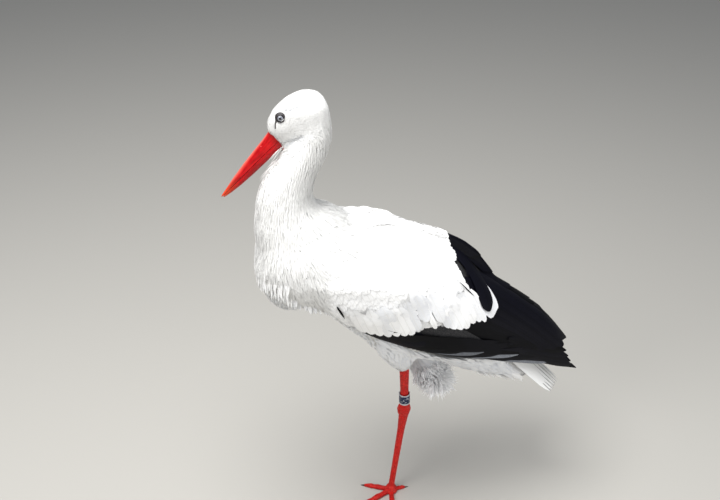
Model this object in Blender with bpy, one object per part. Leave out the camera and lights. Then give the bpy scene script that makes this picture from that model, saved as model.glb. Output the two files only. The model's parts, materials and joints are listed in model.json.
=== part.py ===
"""White stork at rest: a life-size still model, standing on its left leg with the right one tucked up.

Run it with  blender --background --python part.py  or from Blender's text editor.
Metres, +Z up. The bird faces -X, its left side is towards -Y.
The origin is under the ball of the left foot.
Each named object is one part of the bird. Neighbours are parted by a thin gap, so that no two solids touch.
"""

import math

import bmesh
import bpy
from mathutils import Matrix, Vector

# ---------------------------------------------------------------- driving dimensions
GAP = 0.0004  # between neighbouring solids
MID_Y = -0.010  # the body's mid plane: the foot stands a little to its right

BILL_LENGTH = 0.158  # culmen, from the feather edge to the tip
BILL_DEPTH = 0.0364  # at the feather edge
BILL_WIDTH = 0.0262
BILL_BASE = Vector((-0.2114, MID_Y + 0.022, 0.8347))  # middle of the feather edge
HEAD_PITCH = math.radians(47.5)  # bill below the horizontal
HEAD_YAW = math.radians(-23.5)  # turned towards the bird's right
EYE_RADIUS = 0.0095

TARSUS_LENGTH = 0.220
HEEL = Vector((0.024, -0.004, TARSUS_LENGTH))  # the standing leg's ankle joint
TIBIA_TOP = Vector((0.019, -0.010, 0.330))  # where the bare skin ends under the feathers
KNEE = Vector((-0.012, -0.038, 0.440))

RAISED_KNEE = Vector((-0.010, MID_Y + 0.050, 0.440))
RAISED_HEEL = Vector((0.104, MID_Y + 0.045, 0.252))
RAISED_FOOT = Vector((-0.045, MID_Y + 0.080, 0.424))
RAISED_TOE_WAY = Vector((-0.90, -0.12, 0.34))  # the way its bunched toes point

TAIL_ROOT = Vector((0.165, MID_Y, 0.408))
TAIL_TIP = Vector((0.345, MID_Y, 0.228))

VOXEL = 0.0090  # the remesh that melts trunk, neck and head together
BODY_FACES = 0.105  # share of the remeshed faces that is kept

# ---------------------------------------------------------------- finishes
FINISHES = {
    "plumage_white": ("F4F2EC", 0.85, 0.0),
    "plumage_black": ("14141A", 0.45, 0.0),
    "bill_horn": ("C4181A", 0.35, 0.0),
    "leg_skin": ("B8141A", 0.50, 0.0),
    "claw_horn": ("3A2420", 0.40, 0.0),
    "eye_glass": ("2A2524", 0.05, 0.0),
    "ring_metal": ("B4B8C0", 0.35, 1.0),
}


def linear(channel):
    return channel / 12.92 if channel <= 0.04045 else ((channel + 0.055) / 1.055) ** 2.4


def finish(name):
    """The named Principled material, made once."""
    if name in bpy.data.materials:
        return bpy.data.materials[name]
    code, roughness, metallic = FINISHES[name]
    rgb = [linear(int(code[i : i + 2], 16) / 255) for i in (0, 2, 4)]
    material = bpy.data.materials.new(name)
    material.use_nodes = True
    shader = material.node_tree.nodes["Principled BSDF"]
    shader.inputs["Base Color"].default_value = (*rgb, 1.0)
    shader.inputs["Roughness"].default_value = roughness
    shader.inputs["Metallic"].default_value = metallic
    return material


# ---------------------------------------------------------------- making and cutting solids
def add_object(name, bm, finish_name):
    """A finished bmesh as a smooth-shaded object with its outside facing out."""
    bmesh.ops.recalc_face_normals(bm, faces=bm.faces)
    mesh = bpy.data.meshes.new(name)
    bm.to_mesh(mesh)
    bm.free()
    mesh.shade_smooth()
    mesh.set_sharp_from_angle(angle=math.radians(50))
    obj = bpy.data.objects.new(name, mesh)
    obj.data.materials.append(finish(finish_name))
    bpy.context.scene.collection.objects.link(obj)
    return obj


def between(p, q, r, s, t):
    """The Catmull-Rom value at the share t of the way from q to r."""
    bend = (2 * p - 5 * q + 4 * r - s) * t * t + (3 * q - p - 3 * r + s) * t**3
    return 0.5 * (2 * q + (r - p) * t + bend)


def smooth_rows(rows, steps):
    """Rows of numbers with `steps` more between each pair, on a Catmull-Rom curve through them."""
    rows = [tuple(row) for row in rows]
    padded = [rows[0]] + rows + [rows[-1]]
    made = []
    for a, b, c, d in zip(padded, padded[1:], padded[2:], padded[3:]):
        for k in range(steps):
            made.append(tuple(between(*four, k / steps) for four in zip(a, b, c, d)))
    made.append(rows[-1])
    return made


def loft(rings):
    """A closed bmesh through rings of equally many points, with a fan over each end."""
    bm = bmesh.new()
    loops = [[bm.verts.new(p) for p in ring] for ring in rings]
    count = len(loops[0])
    for low, high in zip(loops, loops[1:]):
        for i in range(count):
            j = (i + 1) % count
            bm.faces.new((low[i], low[j], high[j]))
            bm.faces.new((low[i], high[j], high[i]))
    for loop in (loops[0], loops[-1]):
        middle = bm.verts.new(sum((v.co for v in loop), Vector()) / count)
        for i in range(count):
            bm.faces.new((loop[i], loop[(i + 1) % count], middle))
    return bm


def tube_rings(rows, sides, grow=0.0):
    """Oval rings square to the path of rows: x, y, z, radius up and down, radius sideways."""
    points = [Vector(row[:3]) for row in rows]
    rings = []
    for i, row in enumerate(rows):
        ahead = points[min(i + 1, len(points) - 1)] - points[max(i - 1, 0)]
        ahead.normalize()
        across = Vector((0, 1, 0)) - ahead * ahead.y
        across.normalize()
        upward = across.cross(ahead)
        end = -grow if i == 0 else grow if i == len(rows) - 1 else 0.0
        rings.append(
            [
                points[i]
                + ahead * end
                + upward * (row[3] + grow) * math.sin(math.tau * k / sides)
                + across * (row[4] + grow) * math.cos(math.tau * k / sides)
                for k in range(sides)
            ]
        )
    return rings


def tube(name, rows, sides, finish_name, steps=3, grow=0.0):
    return add_object(name, loft(tube_rings(smooth_rows(rows, steps), sides, grow)), finish_name)


def bake_modifiers(obj):
    """Replaces the object's mesh by what its modifiers make of it."""
    graph = bpy.context.evaluated_depsgraph_get()
    graph.update()
    mesh = bpy.data.meshes.new_from_object(obj.evaluated_get(graph))
    obj.modifiers.clear()
    obj.data = mesh


def boolean(obj, other, operation, keep_other=False):
    modifier = obj.modifiers.new(operation.lower(), "BOOLEAN")
    modifier.operation = operation
    modifier.object = other
    modifier.solver = "EXACT"
    bake_modifiers(obj)
    if not keep_other:
        bpy.data.objects.remove(other)


def half(obj, point, normal):
    """Keeps what lies on the side of the plane that the normal points to, and closes the cut."""
    bm = bmesh.new()
    bm.from_mesh(obj.data)
    cut = bmesh.ops.bisect_plane(
        bm,
        geom=bm.verts[:] + bm.edges[:] + bm.faces[:],
        plane_co=point,
        plane_no=normal,
        clear_inner=True,
    )
    edges = [e for e in cut["geom_cut"] if isinstance(e, bmesh.types.BMEdge) and e.is_boundary]
    bmesh.ops.holes_fill(bm, edges=edges)
    bmesh.ops.triangulate(bm, faces=[f for f in bm.faces if len(f.verts) > 4])
    bm.to_mesh(obj.data)
    bm.free()


def duplicate(obj, name):
    twin = obj.copy()
    twin.data = obj.data.copy()
    twin.name = name
    bpy.context.scene.collection.objects.link(twin)
    return twin


def part_at(obj, name, point, normal):
    """Parts an object by a thin cut. The side that the normal points to becomes a new object."""
    normal = Vector(normal).normalized()
    other = duplicate(obj, name)
    half(other, Vector(point) + normal * GAP / 2, normal)
    half(obj, Vector(point) - normal * GAP / 2, -normal)
    return other


def mirrored(obj, name):
    """The same shape on the other side of the body's mid plane."""
    twin = duplicate(obj, name)
    twin.data.transform(Matrix.Translation((0, 2 * MID_Y, 0)) @ Matrix.Scale(-1, 4, (0, 1, 0)))
    twin.data.flip_normals()
    return twin


def box_prism(name, outline, y_low, y_high):
    """A prism with its outline in the X-Z plane, from y_low to y_high: a cutter."""
    bm = bmesh.new()
    near = [bm.verts.new((x, y_low, z)) for x, z in outline]
    far = [bm.verts.new((x, y_high, z)) for x, z in outline]
    bm.faces.new(near)
    bm.faces.new(far[::-1])
    for i in range(len(outline)):
        j = (i + 1) % len(outline)
        bm.faces.new((near[i], far[i], far[j], near[j]))
    cutter = add_object(name, bm, "plumage_white")
    cutter.hide_render = True
    cutter.display_type = "WIRE"
    return cutter


# ---------------------------------------------------------------- trunk, neck and head
# x, z, radius up and down, radius sideways, from the breast back to the rump
TRUNK_ROWS = (
    (-0.256, 0.636, 0.022, 0.022),
    (-0.242, 0.632, 0.060, 0.056),
    (-0.190, 0.616, 0.086, 0.086),
    (-0.110, 0.590, 0.094, 0.103),
    (-0.020, 0.540, 0.121, 0.107),
    (0.060, 0.487, 0.129, 0.100),
    (0.130, 0.433, 0.104, 0.082),
    (0.190, 0.392, 0.076, 0.058),
    (0.226, 0.370, 0.034, 0.030),
)
# x, z, radius fore and aft, radius sideways, from the shoulders up to the nape
NECK_ROWS = (
    (-0.130, 0.612, 0.080, 0.078),
    (-0.188, 0.665, 0.075, 0.067),
    (-0.205, 0.712, 0.053, 0.049),
    (-0.201, 0.750, 0.0455, 0.041),
    (-0.181, 0.788, 0.0355, 0.0335),
    (-0.1585, 0.822, 0.032, 0.031),
    (-0.1515, 0.850, 0.032, 0.030),
    (-0.154, 0.872, 0.031, 0.026),
)
# the head along its own axis, back from the bill's base: x, z, radius up and down, radius sideways
HEAD_ROWS = (
    (-0.004, 0.000, 0.0150, 0.0115),
    (0.003, 0.000, 0.0205, 0.0160),
    (0.016, 0.003, 0.0300, 0.0230),
    (0.038, 0.003, 0.0370, 0.0280),
    (0.066, -0.001, 0.0380, 0.0300),
    (0.090, -0.010, 0.0342, 0.0268),
    (0.102, -0.017, 0.0230, 0.0190),
    (0.109, -0.020, 0.0110, 0.0100),
)
# the feathers under the tail: x, z, radius up and down, radius sideways
UNDERTAIL_ROWS = (
    (0.090, 0.405, 0.060, 0.055),
    (0.160, 0.348, 0.046, 0.046),
    (0.215, 0.306, 0.027, 0.034),
    (0.262, 0.272, 0.012, 0.020),
    (0.288, 0.254, 0.004, 0.008),
)
# the plumes that hang from the lower foreneck: x, z, radius fore and aft, radius sideways
PLUME_ROWS = (
    (-0.200, 0.640, 0.052, 0.066),
    (-0.212, 0.590, 0.046, 0.062),
    (-0.212, 0.550, 0.038, 0.050),
    (-0.208, 0.524, 0.021, 0.032),
    (-0.206, 0.513, 0.008, 0.012),
)


# where head, upper neck and lower neck are parted from what is below: a point, and the way up
HEAD_CUT = ((-0.170, MID_Y, 0.820), (-0.62, 0.12, 0.8))
NECK_CUT = ((-0.185, MID_Y, 0.765), (-0.2, 0, 1))
SHOULDER_CUT = ((-0.180, MID_Y, 0.655), (-0.5, 0, 0.85))


def with_y(rows):
    return [(x, MID_Y, z, tall, wide) for x, z, tall, wide in rows]


def head_matrix():
    """From the head's own frame, bill towards -X and level, to its place on the neck."""
    turn = Matrix.Rotation(HEAD_YAW, 4, "Z") @ Matrix.Rotation(-HEAD_PITCH, 4, "Y")
    return Matrix.Translation(BILL_BASE) @ turn


def melt(parts, name, voxel, kept, finish_name):
    """Joins overlapping solids into one smooth skin by a voxel remesh, and thins its faces."""
    bm = bmesh.new()
    for part in parts:
        bm.from_mesh(part.data)
        bpy.data.objects.remove(part)
    body = add_object(name, bm, finish_name)
    remesh = body.modifiers.new("melt", "REMESH")
    remesh.mode = "VOXEL"
    remesh.voxel_size = voxel
    soften = body.modifiers.new("soften", "SMOOTH")
    soften.factor = 0.5
    soften.iterations = 6
    thin = body.modifiers.new("thin", "DECIMATE")
    thin.ratio = kept
    bake_modifiers(body)
    body.data.shade_smooth()
    return body


def make_body():
    """Trunk, neck, head and thighs melted into one, then parted where a person would name them."""
    head_rows = [(x, 0, z, tall, wide) for x, z, tall, wide in HEAD_ROWS]
    blocks = [
        tube("trunk_block", with_y(TRUNK_ROWS), 32, "plumage_white"),
        tube("neck_block", with_y(NECK_ROWS), 24, "plumage_white"),
        tube("plume_block", with_y(PLUME_ROWS), 20, "plumage_white"),
        tube("undertail_block", with_y(UNDERTAIL_ROWS), 20, "plumage_white"),
        tube("head_block", head_rows, 24, "plumage_white"),
    ]
    blocks[-1].data.transform(head_matrix())
    return melt(blocks, "trunk", VOXEL, BODY_FACES, "plumage_white")


# ---------------------------------------------------------------- folded wings
# upright slices of the outer face: x, centre z, half height, half width, top angle, bottom angle, thickness
WING_ROWS = (
    (-0.168, 0.600, 0.094, 0.094, 22, -20, 0.005),
    (-0.140, 0.590, 0.104, 0.103, 50, -44, 0.012),
    (-0.080, 0.568, 0.117, 0.109, 70, -62, 0.016),
    (-0.020, 0.538, 0.133, 0.110, 78, -54, 0.018),
    (0.080, 0.478, 0.1315, 0.103, 86, -48, 0.018),
    (0.194, 0.410, 0.098, 0.075, 88, -43, 0.014),
    (0.300, 0.349, 0.070, 0.048, 88, -42, 0.010),
    (0.354, 0.300, 0.041, 0.030, 88, -45, 0.007),
    (0.390, 0.268, 0.014, 0.011, 80, -50, 0.004),
)
WING_ARC = 8  # steps round each slice
WING_AXIS = Vector((0.86, 0, -0.51))  # the way the folded flight feathers lie
# The white coverts end along this line, from the front of the wing's lower edge up to the back
BLACK_EDGE = (
    (-0.110, 0.470),
    (0.000, 0.473),
    (0.022, 0.493),
    (0.133, 0.478),
    (0.152, 0.489),
    (0.116, 0.531),
    (0.088, 0.594),
    (0.080, 0.720),
)
PRIMARIES_AT = Vector((0.236, MID_Y, 0.360))
TERTIALS_AT = Vector((0.133, MID_Y, 0.462))


def wing_slice(row, inner, outer, beyond=None):
    """One upright slice of the left wing as a closed loop: the outer arc down, the inner arc back up."""
    x, centre, tall, wide, top, bottom, _ = row

    def at(offset, k):
        angle = math.radians(top + (bottom - top) * k / WING_ARC)
        out = (wide + offset) * math.cos(angle)
        return Vector((x, MID_Y - out, centre + (tall + offset) * math.sin(angle)))

    steps = range(WING_ARC + 1)
    inside = [at(inner, k) for k in reversed(steps)]
    if beyond is None:
        return [at(outer, k) for k in steps] + inside
    return [at(beyond, k) for k in steps] + [at(outer, WING_ARC)] + inside + [at(outer, 0)]


def wing_shell(name, cutter=False):
    """The left wing's shell. As a cutter it is swollen inwards by the gap and outwards past the body."""
    rows = smooth_rows(WING_ROWS, 2)
    if not cutter:
        return add_object(name, loft([wing_slice(row, -row[6], 0.0) for row in rows]), "plumage_white")
    rings = []
    for row in rows:
        x, centre, tall, wide, top, bottom, thick = row
        spread = math.degrees(GAP / wide)
        swollen = (x, centre, tall, wide, top + spread, bottom - spread, thick)
        rings.append(wing_slice(swollen, -thick - GAP, 0.0, 0.05))
    rings[0] = [p - Vector((GAP, 0, 0)) for p in rings[0]]
    return add_object(name, loft(rings), "plumage_white")


def make_wing():
    """The left wing: white coverts, then the black secondaries, tertials and primaries behind them."""
    coverts = wing_shell("wing_left_coverts")
    black = duplicate(coverts, "wing_left_secondaries")
    beyond = [(0.45, 0.72), (0.45, 0.15), (-0.11, 0.15)]
    boolean(coverts, box_prism("cut", list(BLACK_EDGE) + beyond, -0.3, 0.1), "DIFFERENCE")
    inset = [(x + GAP, z - GAP) for x, z in BLACK_EDGE]
    boolean(black, box_prism("cut", inset + beyond, -0.3, 0.1), "INTERSECT")
    black.data.materials.clear()
    black.data.materials.append(finish("plumage_black"))
    primaries = part_at(black, "wing_left_primaries", PRIMARIES_AT, WING_AXIS)
    tertials = part_at(black, "wing_left_tertials", TERTIALS_AT, (-WING_AXIS.z, 0, WING_AXIS.x))
    return coverts, black, tertials, primaries


# ---------------------------------------------------------------- tail
# along the tail from root to tip: share of the way, radius up and down, radius sideways
TAIL_ROWS = (
    (0.0, 0.020, 0.030),
    (0.25, 0.016, 0.036),
    (0.6, 0.011, 0.040),
    (0.9, 0.007, 0.040),
    (1.0, 0.004, 0.034),
)


def make_tail(name, grow=0.0):
    rows = [(*TAIL_ROOT.lerp(TAIL_TIP, share), tall, wide) for share, tall, wide in TAIL_ROWS]
    return tube(name, rows, 16, "plumage_white", steps=2, grow=grow)


# ---------------------------------------------------------------- bill and eyes
# share of the bill's length, then top, closing line, bottom and half width as shares of the base
BILL_ROWS = (
    (-0.07, 0.470, -0.12, -0.500, 1.00),
    (0.00, 0.470, -0.12, -0.500, 1.00),
    (0.12, 0.400, -0.12, -0.470, 0.88),
    (0.30, 0.330, -0.12, -0.450, 0.72),
    (0.50, 0.245, -0.125, -0.425, 0.58),
    (0.70, 0.130, -0.13, -0.370, 0.44),
    (0.86, 0.010, -0.13, -0.295, 0.30),
    (0.96, -0.060, -0.13, -0.215, 0.16),
)
BILL_ARC = 8


def bill_arc(row, rise, flat, grow=0.0):
    """One arched side of the bill at a row, from its left edge over to its right edge."""
    share, half_width = row[0], row[4]
    wide = half_width * BILL_WIDTH / 2 + grow
    arc = []
    for k in range(BILL_ARC + 1):
        angle = math.pi * k / BILL_ARC
        height = flat + rise * math.sin(angle) ** 0.85
        arc.append(Vector((-share * BILL_LENGTH, wide * math.cos(angle), height)))
    return arc


def bill_half(name, upper):
    """One mandible: arched outside, flat where the two close."""
    rings = []
    for row in BILL_ROWS:
        _, top, closing, bottom, _ = row
        edge = top if upper else bottom
        gap = GAP / 2 if upper else -GAP / 2
        rings.append(bill_arc(row, (edge - closing) * BILL_DEPTH, closing * BILL_DEPTH + gap))
    if upper:
        tip = Vector((-BILL_LENGTH, 0, -0.13 * BILL_DEPTH))
        rings.append([tip + (p - tip) * 0.12 for p in rings[-1]])
    obj = add_object(name, loft(rings), "bill_horn")
    obj.data.transform(head_matrix())
    return obj


def bill_root(name):
    """The whole root of the bill, swollen by the gap: what the head is cut by."""
    rings = []
    for row in BILL_ROWS[:4]:
        _, top, closing, bottom, _ = row
        shut = closing * BILL_DEPTH
        over = bill_arc(row, (top - closing) * BILL_DEPTH + GAP, shut, GAP)
        under = bill_arc(row, (bottom - closing) * BILL_DEPTH - GAP, shut, GAP)
        rings.append(over + under[-2:0:-1])
    rings[0] = [p + Vector((GAP, 0, 0)) for p in rings[0]]
    obj = add_object(name, loft(rings), "bill_horn")
    obj.data.transform(head_matrix())
    return obj


EYE_AT = Vector((0.0440, 0.0178, 0.0212))  # the right eye's centre in the head's own frame


def eye(name, side, grow=0.0):
    bm = bmesh.new()
    bmesh.ops.create_uvsphere(bm, u_segments=12, v_segments=8, radius=EYE_RADIUS + grow)
    obj = add_object(name, bm, "eye_glass")
    place = Matrix.Translation((EYE_AT.x, side * EYE_AT.y, EYE_AT.z))
    obj.data.transform(head_matrix() @ place)
    return obj


def make_bill_and_eyes(head):
    """Both mandibles and both eyes, each let into the head."""
    bill_half("bill_upper", True)
    bill_half("bill_lower", False)
    boolean(head, bill_root("cut"), "DIFFERENCE")
    for side, name in ((-1, "eye_left"), (1, "eye_right")):
        eye(name, side)
        boolean(head, eye("cut", side, GAP), "DIFFERENCE")


# ---------------------------------------------------------------- legs
# share of the way up with the radius fore and aft and the radius sideways
TARSUS_PROFILE = (
    (0.00, 0.0066, 0.0074),
    (0.08, 0.0060, 0.0060),
    (0.40, 0.0064, 0.0058),
    (0.75, 0.0074, 0.0064),
    (0.90, 0.0096, 0.0080),
    (0.98, 0.0120, 0.0092),
)
HEEL_PROFILE = (
    (0.0, 0.0080, 0.0066),
    (0.25, 0.0124, 0.0096),
    (0.55, 0.0142, 0.0106),
    (0.80, 0.0118, 0.0096),
    (1.0, 0.0070, 0.0062),
)
TIBIA_PROFILE = ((0.0, 0.0088, 0.0078), (0.4, 0.0082, 0.0074), (1.0, 0.0098, 0.0088))
THIGH_PROFILE = (
    (0.0, 0.056, 0.039),
    (0.45, 0.040, 0.034),
    (0.80, 0.024, 0.021),
    (1.0, 0.0135, 0.0125),
)
RAISED_PROFILE = (
    (0.0, 0.034, 0.030),
    (0.35, 0.030, 0.027),
    (0.62, 0.024, 0.022),
    (0.80, 0.034, 0.032),
    (0.94, 0.033, 0.031),
    (1.05, 0.014, 0.013),
)
TOES = (
    # name, heading from -X towards -Y in degrees, length, radius
    ("inner", -31, 0.058, 0.0056),
    ("middle", 22, 0.081, 0.0060),
    ("outer", 76, 0.069, 0.0056),
    ("hind", 183, 0.031, 0.0046),
)
RAISED_TOES = (
    ("middle", 1, 0.076, 0.0054),
    ("inner", -20, 0.056, 0.0052),
    ("outer", 22, 0.066, 0.0052),
    ("hind", 181, 0.029, 0.0044),
)
TOE_JOINTS = ((0.0, 1.0), (0.28, 0.86), (0.40, 1.0), (0.60, 0.80), (0.72, 0.92), (1.0, 0.50))
CLAW_LENGTH = 0.009
PALM_ROWS = ((0.0, 0.0120), (0.004, 0.0135), (0.010, 0.0118), (0.016, 0.0088))
RING_HEIGHT = 0.025
RING_RADIUS = 0.0110
RING_BORE = 0.0095


def limb(name, a, b, profile, sides=10, grow=0.0, finish_name="leg_skin", steps=1):
    """A limb from a to b along a profile of shares of the way and two radii."""
    rows = [(*a.lerp(b, share), tall, wide) for share, tall, wide in profile]
    return tube(name, rows, sides, finish_name, steps=steps, grow=grow)


def palm(name, grow=0.0):
    """The ball of the foot, upright, with a flat underside at z = 0."""
    rings = []
    for z, radius in PALM_ROWS:
        low = -grow if z == 0 else 0.0
        high = grow if z == PALM_ROWS[-1][0] else 0.0
        turns = [math.tau * k / 12 for k in range(12)]
        size = radius + grow
        rings.append([Vector((size * math.cos(t), size * math.sin(t), z + low + high)) for t in turns])
    return add_object(name, loft(rings), "leg_skin")


def toe(name, way, length, radius, grow=0.0):
    """A toe with its two pads, lying on the plane z = 0."""
    rows = []
    for share, size in TOE_JOINTS:
        reach = way * (PALM_ROWS[0][1] * 0.6 + share * (length - PALM_ROWS[0][1] * 0.6))
        rows.append((reach.x, reach.y, radius * size * 0.80, radius * size * 1.02, radius * size))
    return flat_below(tube(name, rows, 8, "leg_skin", steps=1, grow=grow), -grow)


def claw(name, way, length, radius, grow=0.0):
    """The claw at the end of a toe."""
    rows = []
    for share, size in ((0.0, 0.36), (0.45, 0.38), (1.0, 0.08)):
        reach = way * (length - 0.003 + share * (CLAW_LENGTH + 0.003))
        rows.append((reach.x, reach.y, radius * 0.36 * (1 - 0.6 * share), radius * size, radius * size))
    return flat_below(tube(name, rows, 6, "claw_horn", steps=1, grow=grow), -grow)


def flat_below(obj, floor):
    """Presses what lies below the floor up to it."""
    for vertex in obj.data.vertices:
        vertex.co.z = max(vertex.co.z, floor)
    return obj


def toe_way(heading):
    angle = math.radians(heading)
    return Vector((-math.cos(angle), -math.sin(angle), 0))


def make_foot(side, place, toes):
    """A whole foot, made standing on z = 0 and then put in its place."""
    pieces = [palm(f"foot_{side}")]
    made = []
    for name, heading, length, radius in toes:
        way = toe_way(heading)
        digit = toe(f"toe_{name}_{side}", way, length, radius)
        nail = claw(f"claw_{name}_{side}", way, length, radius)
        boolean(digit, palm("cut", GAP), "DIFFERENCE")
        for neighbour in made:
            boolean(digit, toe("cut", *neighbour, GAP), "DIFFERENCE")
        made.append((way, length, radius))
        boolean(nail, toe("cut", way, length, radius, GAP), "DIFFERENCE")
        pieces += [digit, nail]
    for piece in pieces:
        piece.data.transform(place)
    return pieces


def make_standing_leg(body):
    """From the feathers down: thigh, bare shin, ring, heel joint, tarsus and foot."""
    foot = Vector((0, 0, 0.013))
    make_foot("left", Matrix(), TOES)
    low = HEEL.lerp(foot, 0.085)
    high = HEEL.lerp(TIBIA_TOP, 0.15)
    tarsus = limb("tarsus_left", foot, HEEL, TARSUS_PROFILE)
    limb("heel_left", low, high, HEEL_PROFILE)
    tibia = limb("tibia_left", HEEL, TIBIA_TOP, TIBIA_PROFILE)
    boolean(tarsus, palm("cut", GAP), "DIFFERENCE")
    for bone in (tarsus, tibia):
        boolean(bone, limb("cut", low, high, HEEL_PROFILE, grow=GAP), "DIFFERENCE")
    thigh = limb("thigh_left", KNEE, TIBIA_TOP, THIGH_PROFILE, 16, 0.0, "plumage_white")
    boolean(tibia, limb("cut", KNEE, TIBIA_TOP, THIGH_PROFILE, 16, GAP), "DIFFERENCE")
    boolean(body, limb("cut", KNEE, TIBIA_TOP, THIGH_PROFILE, 16, GAP), "DIFFERENCE")
    make_ring(high)
    return thigh


def make_ring(seat):
    """The leg ring, a short pipe round the shin just above the heel joint."""
    way = (TIBIA_TOP - HEEL).normalized()
    rings = []
    low, high = (0, RING_HEIGHT)
    for reach, radius in ((low, RING_BORE), (low, RING_RADIUS), (high, RING_RADIUS), (high, RING_BORE)):
        turns = [math.tau * k / 18 for k in range(18)]
        rings.append([Vector((radius * math.cos(t), radius * math.sin(t), reach)) for t in turns])
    bm = bmesh.new()
    loops = [[bm.verts.new(p) for p in ring] for ring in rings]
    for loop, after in zip(loops, loops[1:] + loops[:1]):
        for i in range(18):
            j = (i + 1) % 18
            bm.faces.new((loop[i], loop[j], after[j], after[i]))
    ring = add_object("leg_ring", bm, "ring_metal")
    turn = way.to_track_quat("Z", "X").to_matrix().to_4x4()
    ring.data.transform(Matrix.Translation(seat) @ turn)
    return ring


def raised_place():
    """From a foot standing on the floor to the raised foot: toes forward, the ball against the tarsus."""
    toes = RAISED_TOE_WAY.normalized()
    up = (RAISED_HEEL - RAISED_FOOT).normalized()
    up = (up - toes * up.dot(toes)).normalized()
    side = up.cross(-toes)
    turn = Matrix((-toes, side, up)).transposed().to_4x4()
    return Matrix.Translation(RAISED_FOOT - up * 0.012) @ turn


def make_raised_leg(body):
    """The folded right leg: fluffed thigh, tarsus laid forward, toes bunched in the belly's feathers."""
    knee, heel = RAISED_KNEE, RAISED_HEEL
    thigh = limb("thigh_right", knee, heel, RAISED_PROFILE, 16, 0.0, "plumage_white")
    boolean(body, limb("cut", knee, heel, RAISED_PROFILE, 16, GAP), "DIFFERENCE")
    tarsus = limb("tarsus_right", RAISED_FOOT, heel, TARSUS_PROFILE)
    boolean(tarsus, limb("cut", knee, heel, RAISED_PROFILE, 16, GAP), "DIFFERENCE")
    place = raised_place()
    make_foot("right", place, RAISED_TOES)
    ball = palm("cut", GAP)
    ball.data.transform(place)
    boolean(tarsus, ball, "DIFFERENCE")
    boolean(body, limb("cut", RAISED_FOOT, heel, TARSUS_PROFILE, grow=GAP), "DIFFERENCE")
    for _, heading, length, radius in RAISED_TOES:
        way = toe_way(heading)
        for cut in (toe("cut", way, length, radius, GAP), claw("cut", way, length, radius, GAP)):
            cut.data.transform(place)
            boolean(body, cut, "DIFFERENCE")
    ball = palm("cut", GAP)
    ball.data.transform(place)
    boolean(body, ball, "DIFFERENCE")
    return thigh


def clear_scene():
    for obj in list(bpy.data.objects):
        bpy.data.objects.remove(obj)


def main():
    clear_scene()
    body = make_body()
    tail = make_tail("tail")
    boolean(body, make_tail("cut", GAP), "DIFFERENCE")
    make_bill_and_eyes(part_at(body, "head", *HEAD_CUT))
    part_at(body, "neck_upper", *NECK_CUT)
    neck = part_at(body, "neck_lower", *SHOULDER_CUT)
    thighs = [make_standing_leg(body), make_raised_leg(body)]
    cutter = wing_shell("wing_cutter", cutter=True)
    for cut in (cutter, mirrored(cutter, "wing_cutter_right")):
        for piece in (body, neck, tail, *thighs):
            boolean(piece, cut, "DIFFERENCE", keep_other=True)
        bpy.data.objects.remove(cut)
    for piece in make_wing():
        mirrored(piece, piece.name.replace("left", "right"))


main()
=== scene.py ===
# %% [markdown]
# # A white stork, life size, at rest on one leg
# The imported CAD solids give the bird's form and stay fixed. This file dresses them: one skin, a coat
# of separate feathers, flight feathers, bill, eyes, bare legs, a floor, soft light and a camera.
# Everything is in metres. The bird faces -X, its left side is towards -Y and the floor is at z = 0.

import json
import math

import bmesh
import bpy
import numpy as np
from mathutils import Matrix, Vector
from mathutils.bvhtree import BVHTree
from mathutils.kdtree import KDTree

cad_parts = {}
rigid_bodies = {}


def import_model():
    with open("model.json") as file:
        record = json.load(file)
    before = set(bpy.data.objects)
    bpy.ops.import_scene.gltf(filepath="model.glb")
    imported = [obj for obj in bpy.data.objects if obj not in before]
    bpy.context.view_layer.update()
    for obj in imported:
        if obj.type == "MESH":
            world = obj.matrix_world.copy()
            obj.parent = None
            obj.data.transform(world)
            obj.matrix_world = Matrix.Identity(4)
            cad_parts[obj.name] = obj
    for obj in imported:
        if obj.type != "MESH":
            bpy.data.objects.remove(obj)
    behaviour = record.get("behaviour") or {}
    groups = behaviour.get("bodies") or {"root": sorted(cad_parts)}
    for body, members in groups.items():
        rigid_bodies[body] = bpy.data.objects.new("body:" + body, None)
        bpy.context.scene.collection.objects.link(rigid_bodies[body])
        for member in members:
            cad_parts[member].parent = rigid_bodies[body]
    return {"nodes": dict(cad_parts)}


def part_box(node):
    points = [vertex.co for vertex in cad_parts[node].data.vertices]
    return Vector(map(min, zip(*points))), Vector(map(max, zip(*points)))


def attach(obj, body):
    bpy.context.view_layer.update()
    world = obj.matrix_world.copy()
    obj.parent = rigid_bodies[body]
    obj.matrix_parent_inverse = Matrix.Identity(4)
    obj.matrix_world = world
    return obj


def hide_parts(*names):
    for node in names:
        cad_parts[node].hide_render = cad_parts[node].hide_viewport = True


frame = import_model()
nodes = frame["nodes"]
for obj in list(bpy.data.objects):
    if obj.type in ("MESH", "CAMERA", "LIGHT") and obj not in nodes.values():
        bpy.data.objects.remove(obj)
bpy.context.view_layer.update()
chance = np.random.default_rng(11)

# %% [markdown]
# ## Where things are
# The head is tilted and turned on the neck, so the bill, eyes and face feathers are worked out in the
# head's own frame: x runs back from the feather edge of the bill, z up through the crown, y to the
# bird's right. One matrix brings them to the head of the frame.

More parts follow.
